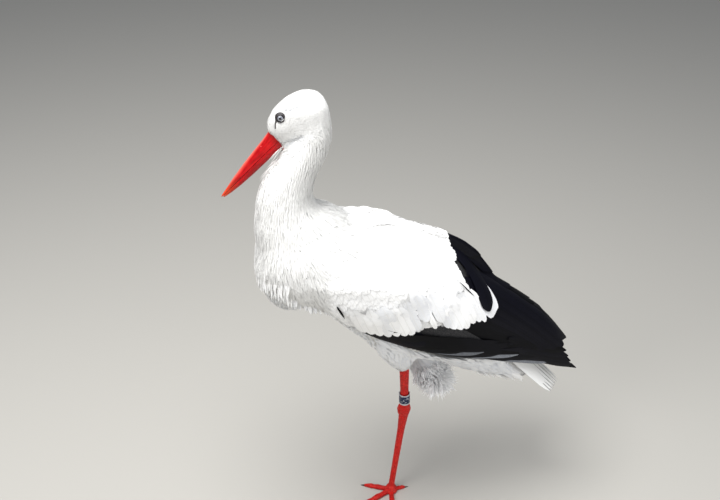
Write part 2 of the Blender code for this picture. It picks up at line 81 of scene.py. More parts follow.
# %% Places and sizes that several pieces share
MID_Y = -0.010  # the body's mid plane
SIDES = ((-1, "left"), (1, "right"))
BILL_BASE = Vector((-0.2114, MID_Y + 0.022, 0.8347))
HEAD_ROUND, HEAD_DOWN = math.radians(-23.5), math.radians(-47.5)
HEAD_TILT = Matrix.Rotation(HEAD_ROUND, 4, "Z") @ Matrix.Rotation(HEAD_DOWN, 4, "Y")
HEAD = Matrix.Translation(BILL_BASE) @ HEAD_TILT
HEAD_TURN = np.array(HEAD.to_3x3())
EYE_AT = Vector((0.0440, 0.0178, 0.0212))
EYE_RADIUS = 0.0095
HEEL, TIBIA_TOP = Vector((0.024, -0.004, 0.220)), Vector((0.019, -0.010, 0.330))
PUFF_AT = np.array((0.098, MID_Y + 0.029, 0.265))  # the burst of down at the drawn-up heel
TAIL_ROOT, TAIL_TIP = Vector((0.165, MID_Y, 0.408)), Vector((0.345, MID_Y, 0.228))


def head_local(points):
    """Points of the shared frame in the head's own frame."""
    return (np.asarray(points, float) - np.array(BILL_BASE)) @ HEAD_TURN


def unit(vectors):
    return vectors / np.maximum(np.linalg.norm(vectors, axis=-1, keepdims=True), 1e-12)


print("bill points", [round(c, 2) for c in HEAD_TURN @ np.array((-1, 0, 0))])

# %% [markdown]
# ## Small helpers
# Operators act on whatever is selected, so each helper deselects first. Colours are written as sRGB
# codes and turned linear once. One function adds a shader node of any kind, with its settings, its
# values and its links, so a material reads as a list of steps from pattern to colour.


# %% Selecting, joining, colours and nodes
SAME_POINT = 0.00002  # points of a CAD copy that are nearer than this are one point


def select_only(*objects):
    if bpy.context.object and bpy.context.object.mode != "OBJECT":
        bpy.ops.object.mode_set(mode="OBJECT")
    bpy.ops.object.select_all(action="DESELECT")
    for obj in objects:
        obj.select_set(True)
    bpy.context.view_layer.objects.active = objects[0]
    return objects[0]


def apply_modifiers(obj):
    select_only(obj)
    for modifier in list(obj.modifiers):
        bpy.ops.object.modifier_apply(modifier=modifier.name)


def faces_out():
    """Turns the faces of the selected mesh outwards."""
    bpy.ops.object.mode_set(mode="EDIT")
    bpy.ops.mesh.select_all(action="SELECT")
    bpy.ops.mesh.normals_make_consistent(inside=False)
    bpy.ops.object.mode_set(mode="OBJECT")


def copies_of(names, name):
    """One object made of copies of CAD nodes, with each copy's loose triangles merged."""
    made = []
    for node_name in names:
        twin = bpy.data.objects.new(name, nodes[node_name].data.copy())
        twin.data.materials.clear()
        bpy.context.scene.collection.objects.link(twin)
        made.append(twin)
    joined = select_only(*made)
    bpy.ops.object.join()
    bpy.ops.object.mode_set(mode="EDIT")
    bpy.ops.mesh.select_all(action="SELECT")
    bpy.ops.mesh.remove_doubles(threshold=SAME_POINT)
    bpy.ops.object.mode_set(mode="OBJECT")
    faces_out()
    joined.name = joined.data.name = name
    return joined


def melt(obj, voxel, grow=0.0005):
    """Grows the solids a little over the gaps between them and melts them into one surface."""
    if grow:
        swell = obj.modifiers.new("swell", "DISPLACE")
        swell.strength = grow
        swell.mid_level = 0
    fuse = obj.modifiers.new("fuse", "REMESH")
    fuse.mode = "VOXEL"
    fuse.voxel_size = voxel
    apply_modifiers(obj)


def colour(code):
    """An sRGB hex code as linear red, green, blue and alpha."""
    parts = [int(code[i : i + 2], 16) / 255 for i in (0, 2, 4)]
    return (*[c / 12.92 if c <= 0.04045 else ((c + 0.055) / 1.055) ** 2.4 for c in parts], 1.0)


def set_inputs(node, inputs):
    """Gives inputs, by name or by number, a value each or a link from another node's output."""
    for key, value in inputs.items():
        if isinstance(value, bpy.types.NodeSocket):
            node.id_data.links.new(value, node.inputs[key])
        else:
            node.inputs[key].default_value = value


def add_node(material, kind, *values, pick=0, **more):
    """Adds a node and gives back its output called or numbered pick.

    The values go to its inputs in their order. In more, a name in small letters is a setting of the
    node, and a name with a capital, or _ and a number, is an input.
    """
    node = material.node_tree.nodes.new("ShaderNode" + kind)
    inputs = dict(enumerate(values))
    for name, value in more.items():
        if name[0].islower():
            setattr(node, name, value)
        else:
            inputs[int(name[1:]) if name[0] == "_" else name.replace("_", " ")] = value
    set_inputs(node, inputs)
    return node.outputs[pick]


COLOURS = {"data_type": "RGBA", "pick": 2}  # a Mix node between two colours, its inputs 6 and 7
SMOOTH = {"interpolation_type": "SMOOTHSTEP"}  # a Map Range node that eases in and out


def new_material(name):
    """A material and its Principled shader."""
    material = bpy.data.materials.new(name)
    material.use_nodes = True
    return material, material.node_tree.nodes["Principled BSDF"]


def finish(shader, tint, roughness, relief=None, **more):
    """Fills in the shader's colour, roughness, relief and what else is named."""
    inputs = {name.replace("_", " "): value for name, value in more.items()}
    if relief is not None:
        inputs["Normal"] = relief
    set_inputs(shader, {"Base Color": tint, "Roughness": roughness, **inputs})


def point_values(mesh, name, values):
    """One number on each point of a mesh, for a material to read."""
    layer = mesh.attributes.new(name, "FLOAT", "POINT")
    layer.data.foreach_set("value", values.astype(np.float32))


print("the floor's grey as linear", [round(c, 3) for c in colour("B9B6AF")])

# %% [markdown]
# ## The form under the coat
# The solids reach to the feather tips, so their outside is the form that the finished coat has to
# fill. A voxel remesh melts copies of them into one surface and evens their facets out. It is only
# a guide: feathers are laid on it, and it is removed at the end.


# %% Reading and easing a mesh as arrays
def read_points(obj):
    flat = np.empty(len(obj.data.vertices) * 3)
    obj.data.vertices.foreach_get("co", flat)
    return flat.reshape(-1, 3)


def write_points(obj, points):
    obj.data.vertices.foreach_set("co", points.astype(np.float32).ravel())
    obj.data.update()


def read_normals(obj):
    flat = np.empty(len(obj.data.vertices) * 3, np.float32)
    obj.data.vertices.foreach_get("normal", flat)
    return flat.reshape(-1, 3).astype(float)


def ease(obj, rounds):
    """Smooths a mesh without shrinking it: each round draws points together, then lets them out."""
    points = read_points(obj)
    edges = np.empty(len(obj.data.edges) * 2, np.int64)
    obj.data.edges.foreach_get("vertices", edges)
    edges = edges.reshape(-1, 2)
    here, there = np.concatenate([edges, edges[:, ::-1]]).T
    count = np.bincount(here, minlength=len(points))[:, None]
    for _ in range(rounds):
        for factor in (0.5, -0.52):
            total = [np.bincount(here, points[there, k], len(points)) for k in range(3)]
            points += factor * (np.stack(total, 1) / count - points)
    write_points(obj, points)


def close_creases(obj, voxel, reach):
    """Fills creases narrower than twice the reach: swells, melts, then draws the surface back in."""
    melt(obj, voxel)
    write_points(obj, read_points(obj) + read_normals(obj) * reach)
    melt(obj, voxel, 0.0)
    write_points(obj, read_points(obj) - read_normals(obj) * reach)
    melt(obj, voxel, 0.0)


# %% Melt the solids of flesh and wing into one form
WING_PARTS = ("coverts", "secondaries", "tertials", "primaries")
wing_nodes = [f"wing_{side}_{part}" for side in ("left", "right") for part in WING_PARTS]
body_nodes = ["head", "neck_upper", "neck_lower", "trunk", "thigh_left", "thigh_right"]
skin_wings = [n for n in wing_nodes if "primaries" not in n]
CREASE_REACH = 0.010
form = copies_of(body_nodes + wing_nodes, "form")
close_creases(form, 0.003, CREASE_REACH)
ease(form, 70)


def swell_at_eyes(obj, radius):
    """Pushes the surface out over each eye, so that the coat runs up onto the lids."""
    points = read_points(obj)
    for side, _ in SIDES:
        centre = np.array(HEAD @ Vector((EYE_AT.x, side * EYE_AT.y, EYE_AT.z)))
        away = points - centre
        gap = np.linalg.norm(away, axis=1, keepdims=True)
        points += away / gap * np.clip(radius - gap, 0, None)
    write_points(obj, points)


swell_at_eyes(form, EYE_RADIUS + 0.0013)

# Folded coverts never lie quite flat: slow waves of a millimetre or two run along the wing's side
WAVE_HEIGHT = 0.0022
points = read_points(form)
x, z = points[:, 0], points[:, 2]
on_side = np.clip((np.abs(points[:, 1] - MID_Y) - 0.075) / 0.02, 0, 1) * np.clip((z - 0.45) / 0.03, 0, 1)
waves = np.sin(52 * x + 24 * z + 2.2 * np.sin(31 * z)) * np.sin(64 * z - 20 * x + 1.5 * np.sin(23 * x))
write_points(form, points + read_normals(form) * (WAVE_HEIGHT * waves * on_side)[:, None])
form_points, form_normals = read_points(form), read_normals(form)
form_faces = np.empty(len(form.data.loops), np.int64)
form.data.loops.foreach_get("vertex_index", form_faces)
form_faces = form_faces.reshape(-1, 4)
form_tree = BVHTree.FromPolygons(form_points.tolist(), form_faces.tolist())
face_normals = unit(form_normals[form_faces].sum(1))
print("form", len(form_faces), "faces")


def snap(points):
    """The nearest points of the form, and its outward directions there."""
    found, out = [], []
    for point in points.tolist():
        at, _, index, _ = form_tree.find_nearest(point)
        found.append(at[:])
        out.append(index)
    return np.array(found), face_normals[out]


# %% [markdown]
# ## The lie of the coat
# Feathers point away from the bill: back over the head, down the neck, back and down over breast,
# back and belly, and down the thighs. A few dozen arrows say so, and between them the direction is
# a weighted mean, the nearer arrow counting more. Body arrows are given once and mirrored.

# %% Arrows: a place (x, distance from the mid plane, z) and a direction (x, outwards, z)
BODY_ARROWS = (
    ((-0.160, 0.000, 0.885), (0.10, 0.0, -1.0)),
    ((-0.130, 0.000, 0.850), (0.05, 0.0, -1.0)),
    ((-0.190, 0.020, 0.830), (-0.10, 0.0, -1.0)),
    ((-0.160, 0.030, 0.830), (-0.20, 0.0, -1.0)),
    ((-0.180, 0.038, 0.785), (-0.35, 0.0, -0.9)),
    ((-0.200, 0.044, 0.740), (-0.20, 0.0, -1.0)),
    ((-0.165, 0.020, 0.745), (-0.10, 0.0, -1.0)),
    ((-0.205, 0.050, 0.700), (0.05, 0.1, -1.0)),
    ((-0.155, 0.025, 0.700), (0.30, 0.1, -0.9)),
    ((-0.250, 0.020, 0.700), (-0.10, 0.1, -1.0)),
    ((-0.125, 0.030, 0.675), (0.85, 0.1, -0.4)),
    ((-0.160, 0.070, 0.670), (0.50, 0.1, -0.8)),
    ((-0.060, 0.020, 0.660), (0.92, 0.0, -0.35)),
    ((0.020, 0.020, 0.635), (0.90, 0.0, -0.42)),
    ((0.100, 0.020, 0.595), (0.86, 0.0, -0.50)),
    ((0.200, 0.020, 0.510), (0.86, 0.0, -0.51)),
    ((-0.140, 0.105, 0.640), (0.60, 0.0, -0.75)),
    ((-0.060, 0.100, 0.625), (0.75, 0.0, -0.62)),
    ((0.030, 0.095, 0.590), (0.75, 0.0, -0.65)),
    ((0.085, 0.080, 0.575), (0.72, 0.0, -0.70)),
    ((-0.150, 0.110, 0.590), (0.40, 0.0, -0.92)),
    ((-0.140, 0.105, 0.535), (0.62, 0.0, -0.78)),
    ((-0.080, 0.110, 0.550), (0.48, 0.0, -0.88)),
    ((-0.050, 0.100, 0.490), (0.42, 0.0, -0.90)),
    ((0.010, 0.115, 0.530), (0.45, 0.0, -0.89)),
    ((0.070, 0.110, 0.510), (0.50, 0.0, -0.87)),
    ((0.130, 0.090, 0.500), (0.58, 0.0, -0.81)),
    ((-0.256, 0.000, 0.650), (0.00, 0.0, -1.0)),
    ((-0.250, 0.040, 0.610), (0.08, 0.0, -1.0)),
    ((-0.210, 0.080, 0.610), (0.25, 0.0, -0.97)),
    ((-0.215, 0.050, 0.550), (0.06, 0.0, -1.0)),
    ((-0.235, 0.000, 0.560), (0.05, 0.0, -1.0)),
    ((-0.150, 0.085, 0.510), (0.75, 0.0, -0.66)),
    ((-0.120, 0.060, 0.470), (0.88, 0.0, -0.47)),
    ((-0.040, 0.075, 0.430), (0.93, 0.0, -0.35)),
    ((0.050, 0.060, 0.380), (0.93, 0.0, -0.35)),
    ((0.130, 0.045, 0.350), (0.85, 0.0, -0.52)),
    ((0.200, 0.030, 0.320), (0.78, 0.0, -0.62)),
    ((-0.130, 0.000, 0.480), (0.93, 0.0, -0.35)),
    ((-0.020, 0.000, 0.410), (0.95, 0.0, -0.28)),
    ((0.080, 0.000, 0.360), (0.90, 0.0, -0.42)),
)
LEG_ARROWS = (  # as they are, not mirrored: the standing leg's feathered thigh, and the drawn-up one
    ((-0.005, -0.060, 0.395), (0.30, 0.05, -0.95)),
    ((0.005, -0.045, 0.360), (0.20, 0.10, -1.0)),
    ((0.017, -0.025, 0.338), (0.10, 0.10, -1.0)),
    ((0.017, 0.005, 0.340), (0.10, -0.10, -1.0)),
    ((0.030, 0.060, 0.360), (0.70, 0.0, -0.72)),
    ((0.080, 0.055, 0.300), (0.60, 0.0, -0.80)),
)
HEAD_ARROWS = (  # the head's own frame: x back from the bill, distance from its mid plane, z
    ((0.008, 0.000, 0.027), (1.0, 0.0, 0.75)),
    ((0.030, 0.000, 0.037), (1.0, 0.0, 0.25)),
    ((0.060, 0.000, 0.038), (1.0, 0.0, -0.10)),
    ((0.090, 0.000, 0.024), (0.75, 0.0, -0.65)),
    ((0.103, 0.000, 0.000), (0.20, 0.0, -1.0)),
    ((0.008, 0.020, 0.010), (1.0, 0.5, 0.25)),
    ((0.008, 0.018, -0.008), (1.0, 0.5, -0.15)),
    ((0.040, 0.024, 0.029), (1.0, 0.0, 0.05)),
    ((0.040, 0.028, 0.004), (1.0, 0.1, -0.20)),
    ((0.070, 0.029, 0.012), (0.90, 0.0, -0.45)),
    ((0.090, 0.022, -0.005), (0.40, 0.0, -0.92)),
    ((0.060, 0.026, -0.018), (0.60, 0.0, -0.80)),
    ((0.012, 0.010, -0.026), (1.0, 0.2, -0.35)),
    ((0.035, 0.010, -0.033), (0.80, 0.1, -0.60)),
    ((0.055, 0.010, -0.036), (0.25, 0.0, -0.97)),
)
arrow_places, arrow_ways = [], []
for (x, out, z), (dx, dout, dz) in BODY_ARROWS:
    for side in (-1, 1):
        arrow_places.append((x, MID_Y + side * out, z))
        arrow_ways.append((dx, side * dout, dz))
for place, way in LEG_ARROWS:
    arrow_places.append(place)
    arrow_ways.append(way)
for (x, out, z), (dx, dout, dz) in HEAD_ARROWS:
    for side in (-1, 1):
        arrow_places.append((HEAD @ Vector((x, side * out, z)))[:])
        arrow_ways.append((HEAD.to_3x3() @ Vector((dx, side * dout, dz)))[:])
arrow_places, arrow_ways = np.array(arrow_places), unit(np.array(arrow_ways))


def lie(points, normals):
    """The coat's direction at each point, along the surface."""
    gap = points[:, None] - arrow_places[None]
    weight = 1 / ((gap**2).sum(-1) + 0.008**2) ** 2
    way = weight @ arrow_ways
    way -= normals * (way * normals).sum(1, keepdims=True)
    return unit(way)


print("arrows", len(arrow_places))

# %% [markdown]
# ## One skin
# All the flesh is one surface, so no seam shows. It is melted from the same solids at a coarser
# voxel and let in by the coat's depth: hardly at all on the face, more on the body. The bare legs
# and feet are melted finer and keep their full size. Colour is painted on the points: white
# under white feathers, black under the black ones, and red on the legs.

# %% How deep the coat is
NECK_LOW, NECK_HIGH = 0.655, 0.860


def is_head(points):
    """Above the throat and the nape, in the head's own frame."""
    local = head_local(points)
    return (local[:, 2] > -0.034) & (local[:, 0] > -0.006)


def neck_share(points):
    """0 at the shoulders and 1 at the top of the neck."""
    return np.clip((points[:, 2] - NECK_LOW) / (NECK_HIGH - NECK_LOW), 0, 1)


def coat_depth(points):
    """From the skin up to the feather tips."""
    local = head_local(points)
    on_neck = points[:, 0] < -0.12
    depth = np.where(on_neck, 0.0060 - 0.0030 * neck_share(points), 0.0060)
    on_wing = np.abs(points[:, 1] - MID_Y) > 0.085
    depth = np.where(on_wing & ~on_neck, 0.0045, depth)
    face = 0.0012 + 0.0014 * np.clip(local[:, 0] / 0.09, 0, 1)
    share = np.clip((local[:, 2] + 0.052) / 0.024, 0, 1) * (local[:, 0] > -0.02)
    depth = depth + (face - depth) * share
    return np.where(np.linalg.norm(points - PUFF_AT, axis=1) < 0.034, 0.0120, depth)


places = np.array(((-0.16, MID_Y, 0.86), (-0.19, MID_Y, 0.75), (0.0, MID_Y, 0.62), tuple(PUFF_AT)))
print("coat depth in mm on crown, neck, back and heel", (coat_depth(places) * 1000).round(1))

# %% [markdown]
# ## Melting and painting the skin
# A voxel remesh gives even faces, which a boolean union would not, and closes the gaps between the
# solids. The paint on the points could be a texture, but points need no unwrap and keep sharp enough
# edges once the head's faces are split once more. Bare dark skin rings the eye and runs to the bill.

# %% Melt, let in and paint the skin
skin = copies_of(body_nodes + skin_wings, "skin")
close_creases(skin, 0.0038, CREASE_REACH)
ease(skin, 30)
points = read_points(skin)
write_points(skin, points - read_normals(skin) * coat_depth(points)[:, None])
ease(skin, 8)
swell_at_eyes(skin, EYE_RADIUS + 0.0002)
LEG_NODES = ["tibia_left", "heel_left", "tarsus_left", "tarsus_right", "foot_left", "foot_right"]
LEG_NODES += [f"toe_{t}_{s}" for t in ("inner", "middle", "outer", "hind") for s in ("left", "right")]
legs = copies_of(LEG_NODES, "legs")
melt(legs, 0.0013, 0.0003)
ease(legs, 6)


def tree_of(names):
    """A search tree over some CAD nodes."""
    points, faces = [], []
    for node_name in names:
        mesh = nodes[node_name].data
        start = len(points)
        points += [v.co[:] for v in mesh.vertices]
        faces += [[start + i for i in polygon.vertices] for polygon in mesh.polygons]
    return BVHTree.FromPolygons(points, faces)


black_tree = tree_of([n for n in wing_nodes if "coverts" not in n])
white_tree = tree_of(body_nodes + [n for n in wing_nodes if "coverts" in n])


RIDGE = ((0.086, 0.13, 0.20, 0.30, 0.40), (0.585, 0.535, 0.470, 0.385, 0.300))  # x and z of its crest
RIDGE_FRONT = 0.088  # where the black begins on the mid plane


def is_black(points):
    """True where the nearest solid is a black part of the wing, and on the ridge between the wings."""
    found = []
    for point in points.tolist():
        found.append(black_tree.find_nearest(point)[3] < white_tree.find_nearest(point)[3])
    out = np.abs(points[:, 1] - MID_Y)
    behind = points[:, 0] > RIDGE_FRONT + out
    ridge = behind & (out < 0.06) & (points[:, 2] > np.interp(points[:, 0], *RIDGE))
    white_back = ~behind & (points[:, 2] > 0.583) & (out < 0.042)
    return (np.array(found) & ~white_back) | ridge


LORE = np.array(((0.0420, 0.0280), (0.0370, 0.0262), (0.0300, 0.0210), (0.0222, 0.0150)))
BROW = np.array(((0.0530, 0.0245), (0.0600, 0.0225), (0.0721, 0.0182)))
GAPE_FOLD = np.array(((0.0090, -0.0140), (0.0258, -0.0165), (0.0420, -0.0210)))


def near_line(places, line):
    """How far each flat place is from a line of points, and how far along it (0..1) that is."""
    best, where = np.full(len(places), 9.0), np.zeros(len(places))
    for k, (a, b) in enumerate(zip(line, line[1:])):
        share = np.clip((places - a) @ (b - a) / ((b - a) @ (b - a)), 0, 1)
        gap = np.linalg.norm(places - a - share[:, None] * (b - a), axis=1)
        where = np.where(gap < best, (k + share) / (len(line) - 1), where)
        best = np.minimum(gap, best)
    return best, where


def face_mask(local):
    """True on the bare skin round the eye and down the lore, in the head's own frame."""
    round_eye = ((local[:, 0] - EYE_AT.x) / 0.0055) ** 2 + ((local[:, 2] - EYE_AT.z) / 0.0048) ** 2 < 1
    gap, where = near_line(local[:, (0, 2)], LORE)
    return (round_eye | (gap < 0.0018 - 0.0007 * where)) & (np.abs(local[:, 1]) > 0.006)


def at_bill(local):
    """True on the bare edge round the bill's root, which runs further back along its upper side."""
    back = 0.0012 + 0.0055 * np.exp(-(((local[:, 2] - 0.007) / 0.005) ** 2))
    return (local[:, 0] < back) & (np.abs(local[:, 2]) < 0.020)


select_only(skin)
head_faces = is_head(np.array([p.center[:] for p in skin.data.polygons]))
skin.data.polygons.foreach_set("select", head_faces)
bpy.ops.object.mode_set(mode="EDIT")
bpy.ops.mesh.select_mode(type="FACE")
bpy.ops.mesh.subdivide(number_cuts=1)
bpy.ops.object.mode_set(mode="OBJECT")
points = read_points(skin)
paint = np.tile(np.array(colour("F1EFEA")), (len(points), 1))
paint[is_black(points)] = colour("17171C")
local = head_local(points)
on_head = is_head(points)
paint[on_head & at_bill(local - np.array((0.0022, 0, 0)))] = colour("A8170F")
paint[on_head & face_mask(local)] = colour("3C383A")
leg_paint = np.tile(np.array(colour("C22A22")), (len(legs.data.vertices), 1))
for obj, colours in ((skin, paint), (legs, leg_paint)):
    layer = obj.data.attributes.new("paint", "FLOAT_COLOR", "POINT")
    layer.data.foreach_set("color", colours.astype(np.float32).ravel())
print("body skin", len(skin.data.polygons), "leg skin", len(legs.data.polygons), "faces")

# %% [markdown]
# ## Skin material
# The body skin hardly shows. The legs do: a stork's shin is covered in small many-sided scales, which
# a cell pattern gives as bump, with a paler, chalkier colour on the scales than between them.

# %% Skin and leg materials
# Downy skin is matt and faintly grained, so that the gaps between feathers look soft
down_skin, shader = new_material("downy_skin")
painted = add_node(down_skin, "Attribute", attribute_name="paint")
place = add_node(down_skin, "TexCoord", pick="Object")
grain = add_node(down_skin, "TexNoise", Vector=place, Scale=420.0, Detail=3.0)  # 2.4 mm grain
share = add_node(down_skin, "MapRange", grain, 0.35, 0.7, **SMOOTH)
worn = add_node(down_skin, "Mix", share, _6=painted, _7=colour("8F8B86"), **COLOURS)
tint = add_node(down_skin, "Mix", 0.12, _6=painted, _7=worn, **COLOURS)
finish(shader, tint, 0.85, add_node(down_skin, "Bump", Strength=0.6, Distance=0.0006, Height=grain))

# Leg scales are horny plates: dark seams, clouded reds, a chalky bloom and a low shine
SCALES_PER_METRE = 330.0  # a scale is about 3 mm across, and taller than wide
red_leg, shader = new_material("red_leg_scales")
place = add_node(red_leg, "TexCoord", pick="Object")
stretch = add_node(red_leg, "Mapping", Vector=place, Scale=(1.0, 1.0, 0.62))
cells = {"Vector": stretch, "Scale": SCALES_PER_METRE}
edges = add_node(red_leg, "TexVoronoi", feature="DISTANCE_TO_EDGE", **cells)
plate = add_node(red_leg, "MapRange", edges, 0.0, 0.16, **SMOOTH)
cloud = add_node(red_leg, "TexNoise", Vector=place, Scale=38.0, Detail=4.0)  # patches of 26 mm
fine = add_node(red_leg, "TexNoise", Vector=place, Scale=900.0, Detail=3.0)  # grit of 1.1 mm
share = add_node(red_leg, "MapRange", cloud, 0.35, 0.68, **SMOOTH)
tint = add_node(red_leg, "Mix", share, _6=colour("C00C0A"), _7=colour("D41410"), **COLOURS)
share = add_node(red_leg, "MapRange", fine, 0.4, 0.7, **SMOOTH)
tint = add_node(red_leg, "Mix", share, _6=tint, _7=colour("DC2018"), **COLOURS)
tint = add_node(red_leg, "Mix", plate, _6=colour("960C0A"), _7=tint, **COLOURS)
speck = add_node(red_leg, "TexVoronoi", pick="Color", **cells)
share = add_node(red_leg, "MapRange", speck, 0.2, 0.9, 0.0, 0.15, **SMOOTH)
tint = add_node(red_leg, "Mix", share, _6=tint, _7=colour("E25C4A"), **COLOURS)
gloss = add_node(red_leg, "MapRange", plate, 0.0, 1.0, 0.62, 0.42, **SMOOTH)
relief = add_node(red_leg, "Math", fine, 0.12, plate, operation="MULTIPLY_ADD")
relief = add_node(red_leg, "Bump", Strength=0.9, Distance=0.00035, Height=relief)
FLESH = {"Subsurface_Radius": (0.004, 0.0012, 0.0008), "Subsurface_Scale": 0.5}
finish(shader, tint, gloss, relief, Specular_IOR_Level=0.25, Subsurface_Weight=0.06, **FLESH)
print("materials", [m.name for m in bpy.data.materials])

# %% Join body and legs into the one skin and unwrap it
skin.data.materials.append(down_skin)
legs.data.materials.append(red_leg)
select_only(skin, legs)
bpy.ops.object.join()
faces_out()
bpy.ops.object.mode_set(mode="EDIT")
bpy.ops.mesh.select_all(action="SELECT")
bpy.ops.uv.smart_project(angle_limit=math.radians(66), island_margin=0.002)
bpy.ops.object.mode_set(mode="OBJECT")
skin.data.uv_layers[0].name = "OFBake"
bpy.ops.object.shade_smooth()
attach(skin, "root")
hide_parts(*body_nodes, *skin_wings, *LEG_NODES)
skin.data.calc_loop_triangles()
print("skin", len(skin.data.loop_triangles), "triangles")

# %% [markdown]
# ## Feathers
# A feather here is a thin curved blade: a grid with a shaft line down its middle. The grid is made
# once with the grid primitive. Each feather then gets its own line along the form, and the grid is
# spread over that line with the feather's own width, rise and turn. All the feathers of a tract become
# one mesh, filled from arrays because thousands of joins would take too long.

# %% The unwrap of the skin, for each feather's place on it
skin_tree = BVHTree.FromPolygons(
    [v.co[:] for v in skin.data.vertices], [t.vertices[:] for t in skin.data.loop_triangles]
)
triangle_loops = np.empty(len(skin.data.loop_triangles) * 3, np.int64)
skin.data.loop_triangles.foreach_get("loops", triangle_loops)
skin_uv = np.empty(len(skin.data.loops) * 2, np.float32)
skin.data.uv_layers["OFBake"].data.foreach_get("uv", skin_uv)
triangle_uv = skin_uv.reshape(-1, 2)[triangle_loops.reshape(-1, 3)].mean(1)


def place_on_unwrap(points):
    """Where the nearest bit of skin lies on the unwrap."""
    found = [skin_tree.find_nearest(point)[2] for point in points.tolist()]
    return triangle_uv[found]


# %% One feather's grid, and a tract of feathers from arrays
def feather_grid(columns, rows):
    """Points (across -1..1, along 0..1) and faces of a grid primitive, row by row."""
    select_only(skin)
    bpy.ops.mesh.primitive_grid_add(x_subdivisions=columns, y_subdivisions=rows, size=2)
    grid = bpy.context.object
    points = read_points(grid)[:, :2]
    faces = np.array([p.vertices[:] for p in grid.data.polygons])
    bpy.data.objects.remove(grid)
    return points, faces


def make_tract(name, line, out, left, right, rise, tones_and_shade, material, **more):
    """A tract as one mesh.

    line and out are (stations, feathers, 3): the shaft line and the outward directions on it.
    left, right and rise are (stations, feathers): half widths and heights over the form.
    more: columns, bow (how far the edges droop, as a share of the half width), roll (radians),
    rounded (how far the tip's corners draw back, in half widths), ragged (how far the end points
    stray), slot (not used), web (0..1: how grey the outer web is), outer (1 or -1: on which side it
    lies), and draped (True lays the whole blade on the form, not only its shaft).
    """
    stations, count = line.shape[:2]
    columns = more.get("columns", 4)
    grid, faces = feather_grid(columns, stations - 1)
    across = np.round((grid[:, 0] + 1) / 2 * columns).astype(int)
    along = np.round((grid[:, 1] + 1) / 2 * (stations - 1)).astype(int)
    share = across / columns * 2 - 1
    ahead = unit(np.gradient(line, axis=0))
    side = unit(np.cross(ahead, out))
    roll = np.broadcast_to(more.get("roll", 0.0), (count,))
    cos, sin = np.cos(roll)[None, :, None], np.sin(roll)[None, :, None]
    side, out = side * cos + out * sin, out * cos - side * sin
    half = np.where(share[:, None] < 0, left[along], right[along])
    reach = share[:, None] * half
    droop = more.get("bow", 0.12) * share[:, None] ** 2 * half
    height = rise[along] - droop
    flat, upward = line[along] + side[along] * reach[..., None], out[along]
    if more.get("draped"):
        flat, upward = (found.reshape(flat.shape) for found in snap(flat.reshape(-1, 3)))
    points = flat + upward * height[..., None]
    rounded = more.get("rounded", 0.0)
    pull = np.where(along == stations - 1, 1.0, np.where(along == stations - 2, 0.3, 0.0))
    points -= ahead[along] * (rounded * pull[:, None] * share[:, None] ** 2 * half)[..., None]
    ragged = more.get("ragged", 0.0)
    if np.any(ragged):
        stray = chance.uniform(-1, 0.35, (len(grid), count)) * ragged
        stray *= (along >= stations - 2)[:, None] * (0.35 + 0.65 * np.abs(share[:, None]))
        points += ahead[along] * stray[..., None]
    length = np.linalg.norm(np.diff(line, axis=0), axis=2)
    run = np.concatenate([np.zeros((1, count)), np.cumsum(length, 0)])[along]
    vertices = points.transpose(1, 0, 2).reshape(-1, 3)
    mesh = bpy.data.meshes.new(name)
    mesh.vertices.add(len(vertices))
    mesh.vertices.foreach_set("co", vertices.astype(np.float32).ravel())
    corners = (np.arange(count)[:, None, None] * len(grid) + faces[None]).reshape(-1)
    mesh.loops.add(len(corners))
    mesh.loops.foreach_set("vertex_index", corners.astype(np.int32))
    mesh.polygons.add(len(corners) // 4)
    mesh.polygons.foreach_set("loop_start", np.arange(0, len(corners), 4, dtype=np.int32))
    mesh.update(calc_edges=True)
    seat = place_on_unwrap(line[0])
    patch = np.stack([share * 0.5, along / (stations - 1) - 0.5], 1) * 0.003
    baked = (seat[:, None] + patch[None]).reshape(-1, 2)[corners]
    mesh.uv_layers.new(name="OFBake").data.foreach_set("uv", baked.astype(np.float32).ravel())
    vane = np.stack([reach, run], 2).transpose(1, 0, 2).reshape(-1, 2)[corners]
    mesh.uv_layers.new(name="Vane").data.foreach_set("uv", vane.astype(np.float32).ravel())
    far = along / (stations - 1)
    on_web = (share * more.get("outer", 1) > 0.2) & (far > 0.45)
    grey = np.repeat(np.broadcast_to(more.get("web", 0.0), count), len(grid))
    # Each feather's tone: its own random tone, with painted shade added in some tracts
    point_values(mesh, "tone_and_shade", np.repeat(tones_and_shade, len(grid)))
    point_values(mesh, "along", np.tile(far, count))
    point_values(mesh, "web", np.tile(on_web, count) * grey)
    mesh.materials.append(material)
    obj = bpy.data.objects.new(name, mesh)
    bpy.context.scene.collection.objects.link(obj)
    select_only(obj)
    bpy.ops.object.shade_smooth()
    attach(obj, "root")
    print(name, count, "feathers", 2 * len(corners) // 4, "triangles")
    return obj


# %% [markdown]
# ## Feather materials
# White plumage is never one white: each feather differs a little, its base is greyer with painted shade
# where the feathers over it cover it, its shaft shows as a fine line and its barbs run out and forward
# as fine ridges. The map named Vane holds metres across and along each feather, so the barbs are as wide
# on a small feather as on a large one. The same steps make four finishes: body feathers, tail feathers
# with dark shafts, pure white down, and black flight feathers, some of which have a silvery outer web.


# %% White and black feather materials
# Keratin barbs: ridges 1.1 mm apart, coarser than real ones (about 0.4 mm) so that they show
BARBS_PER_METRE, ALONG_A_BARB = 900.0, 90.0


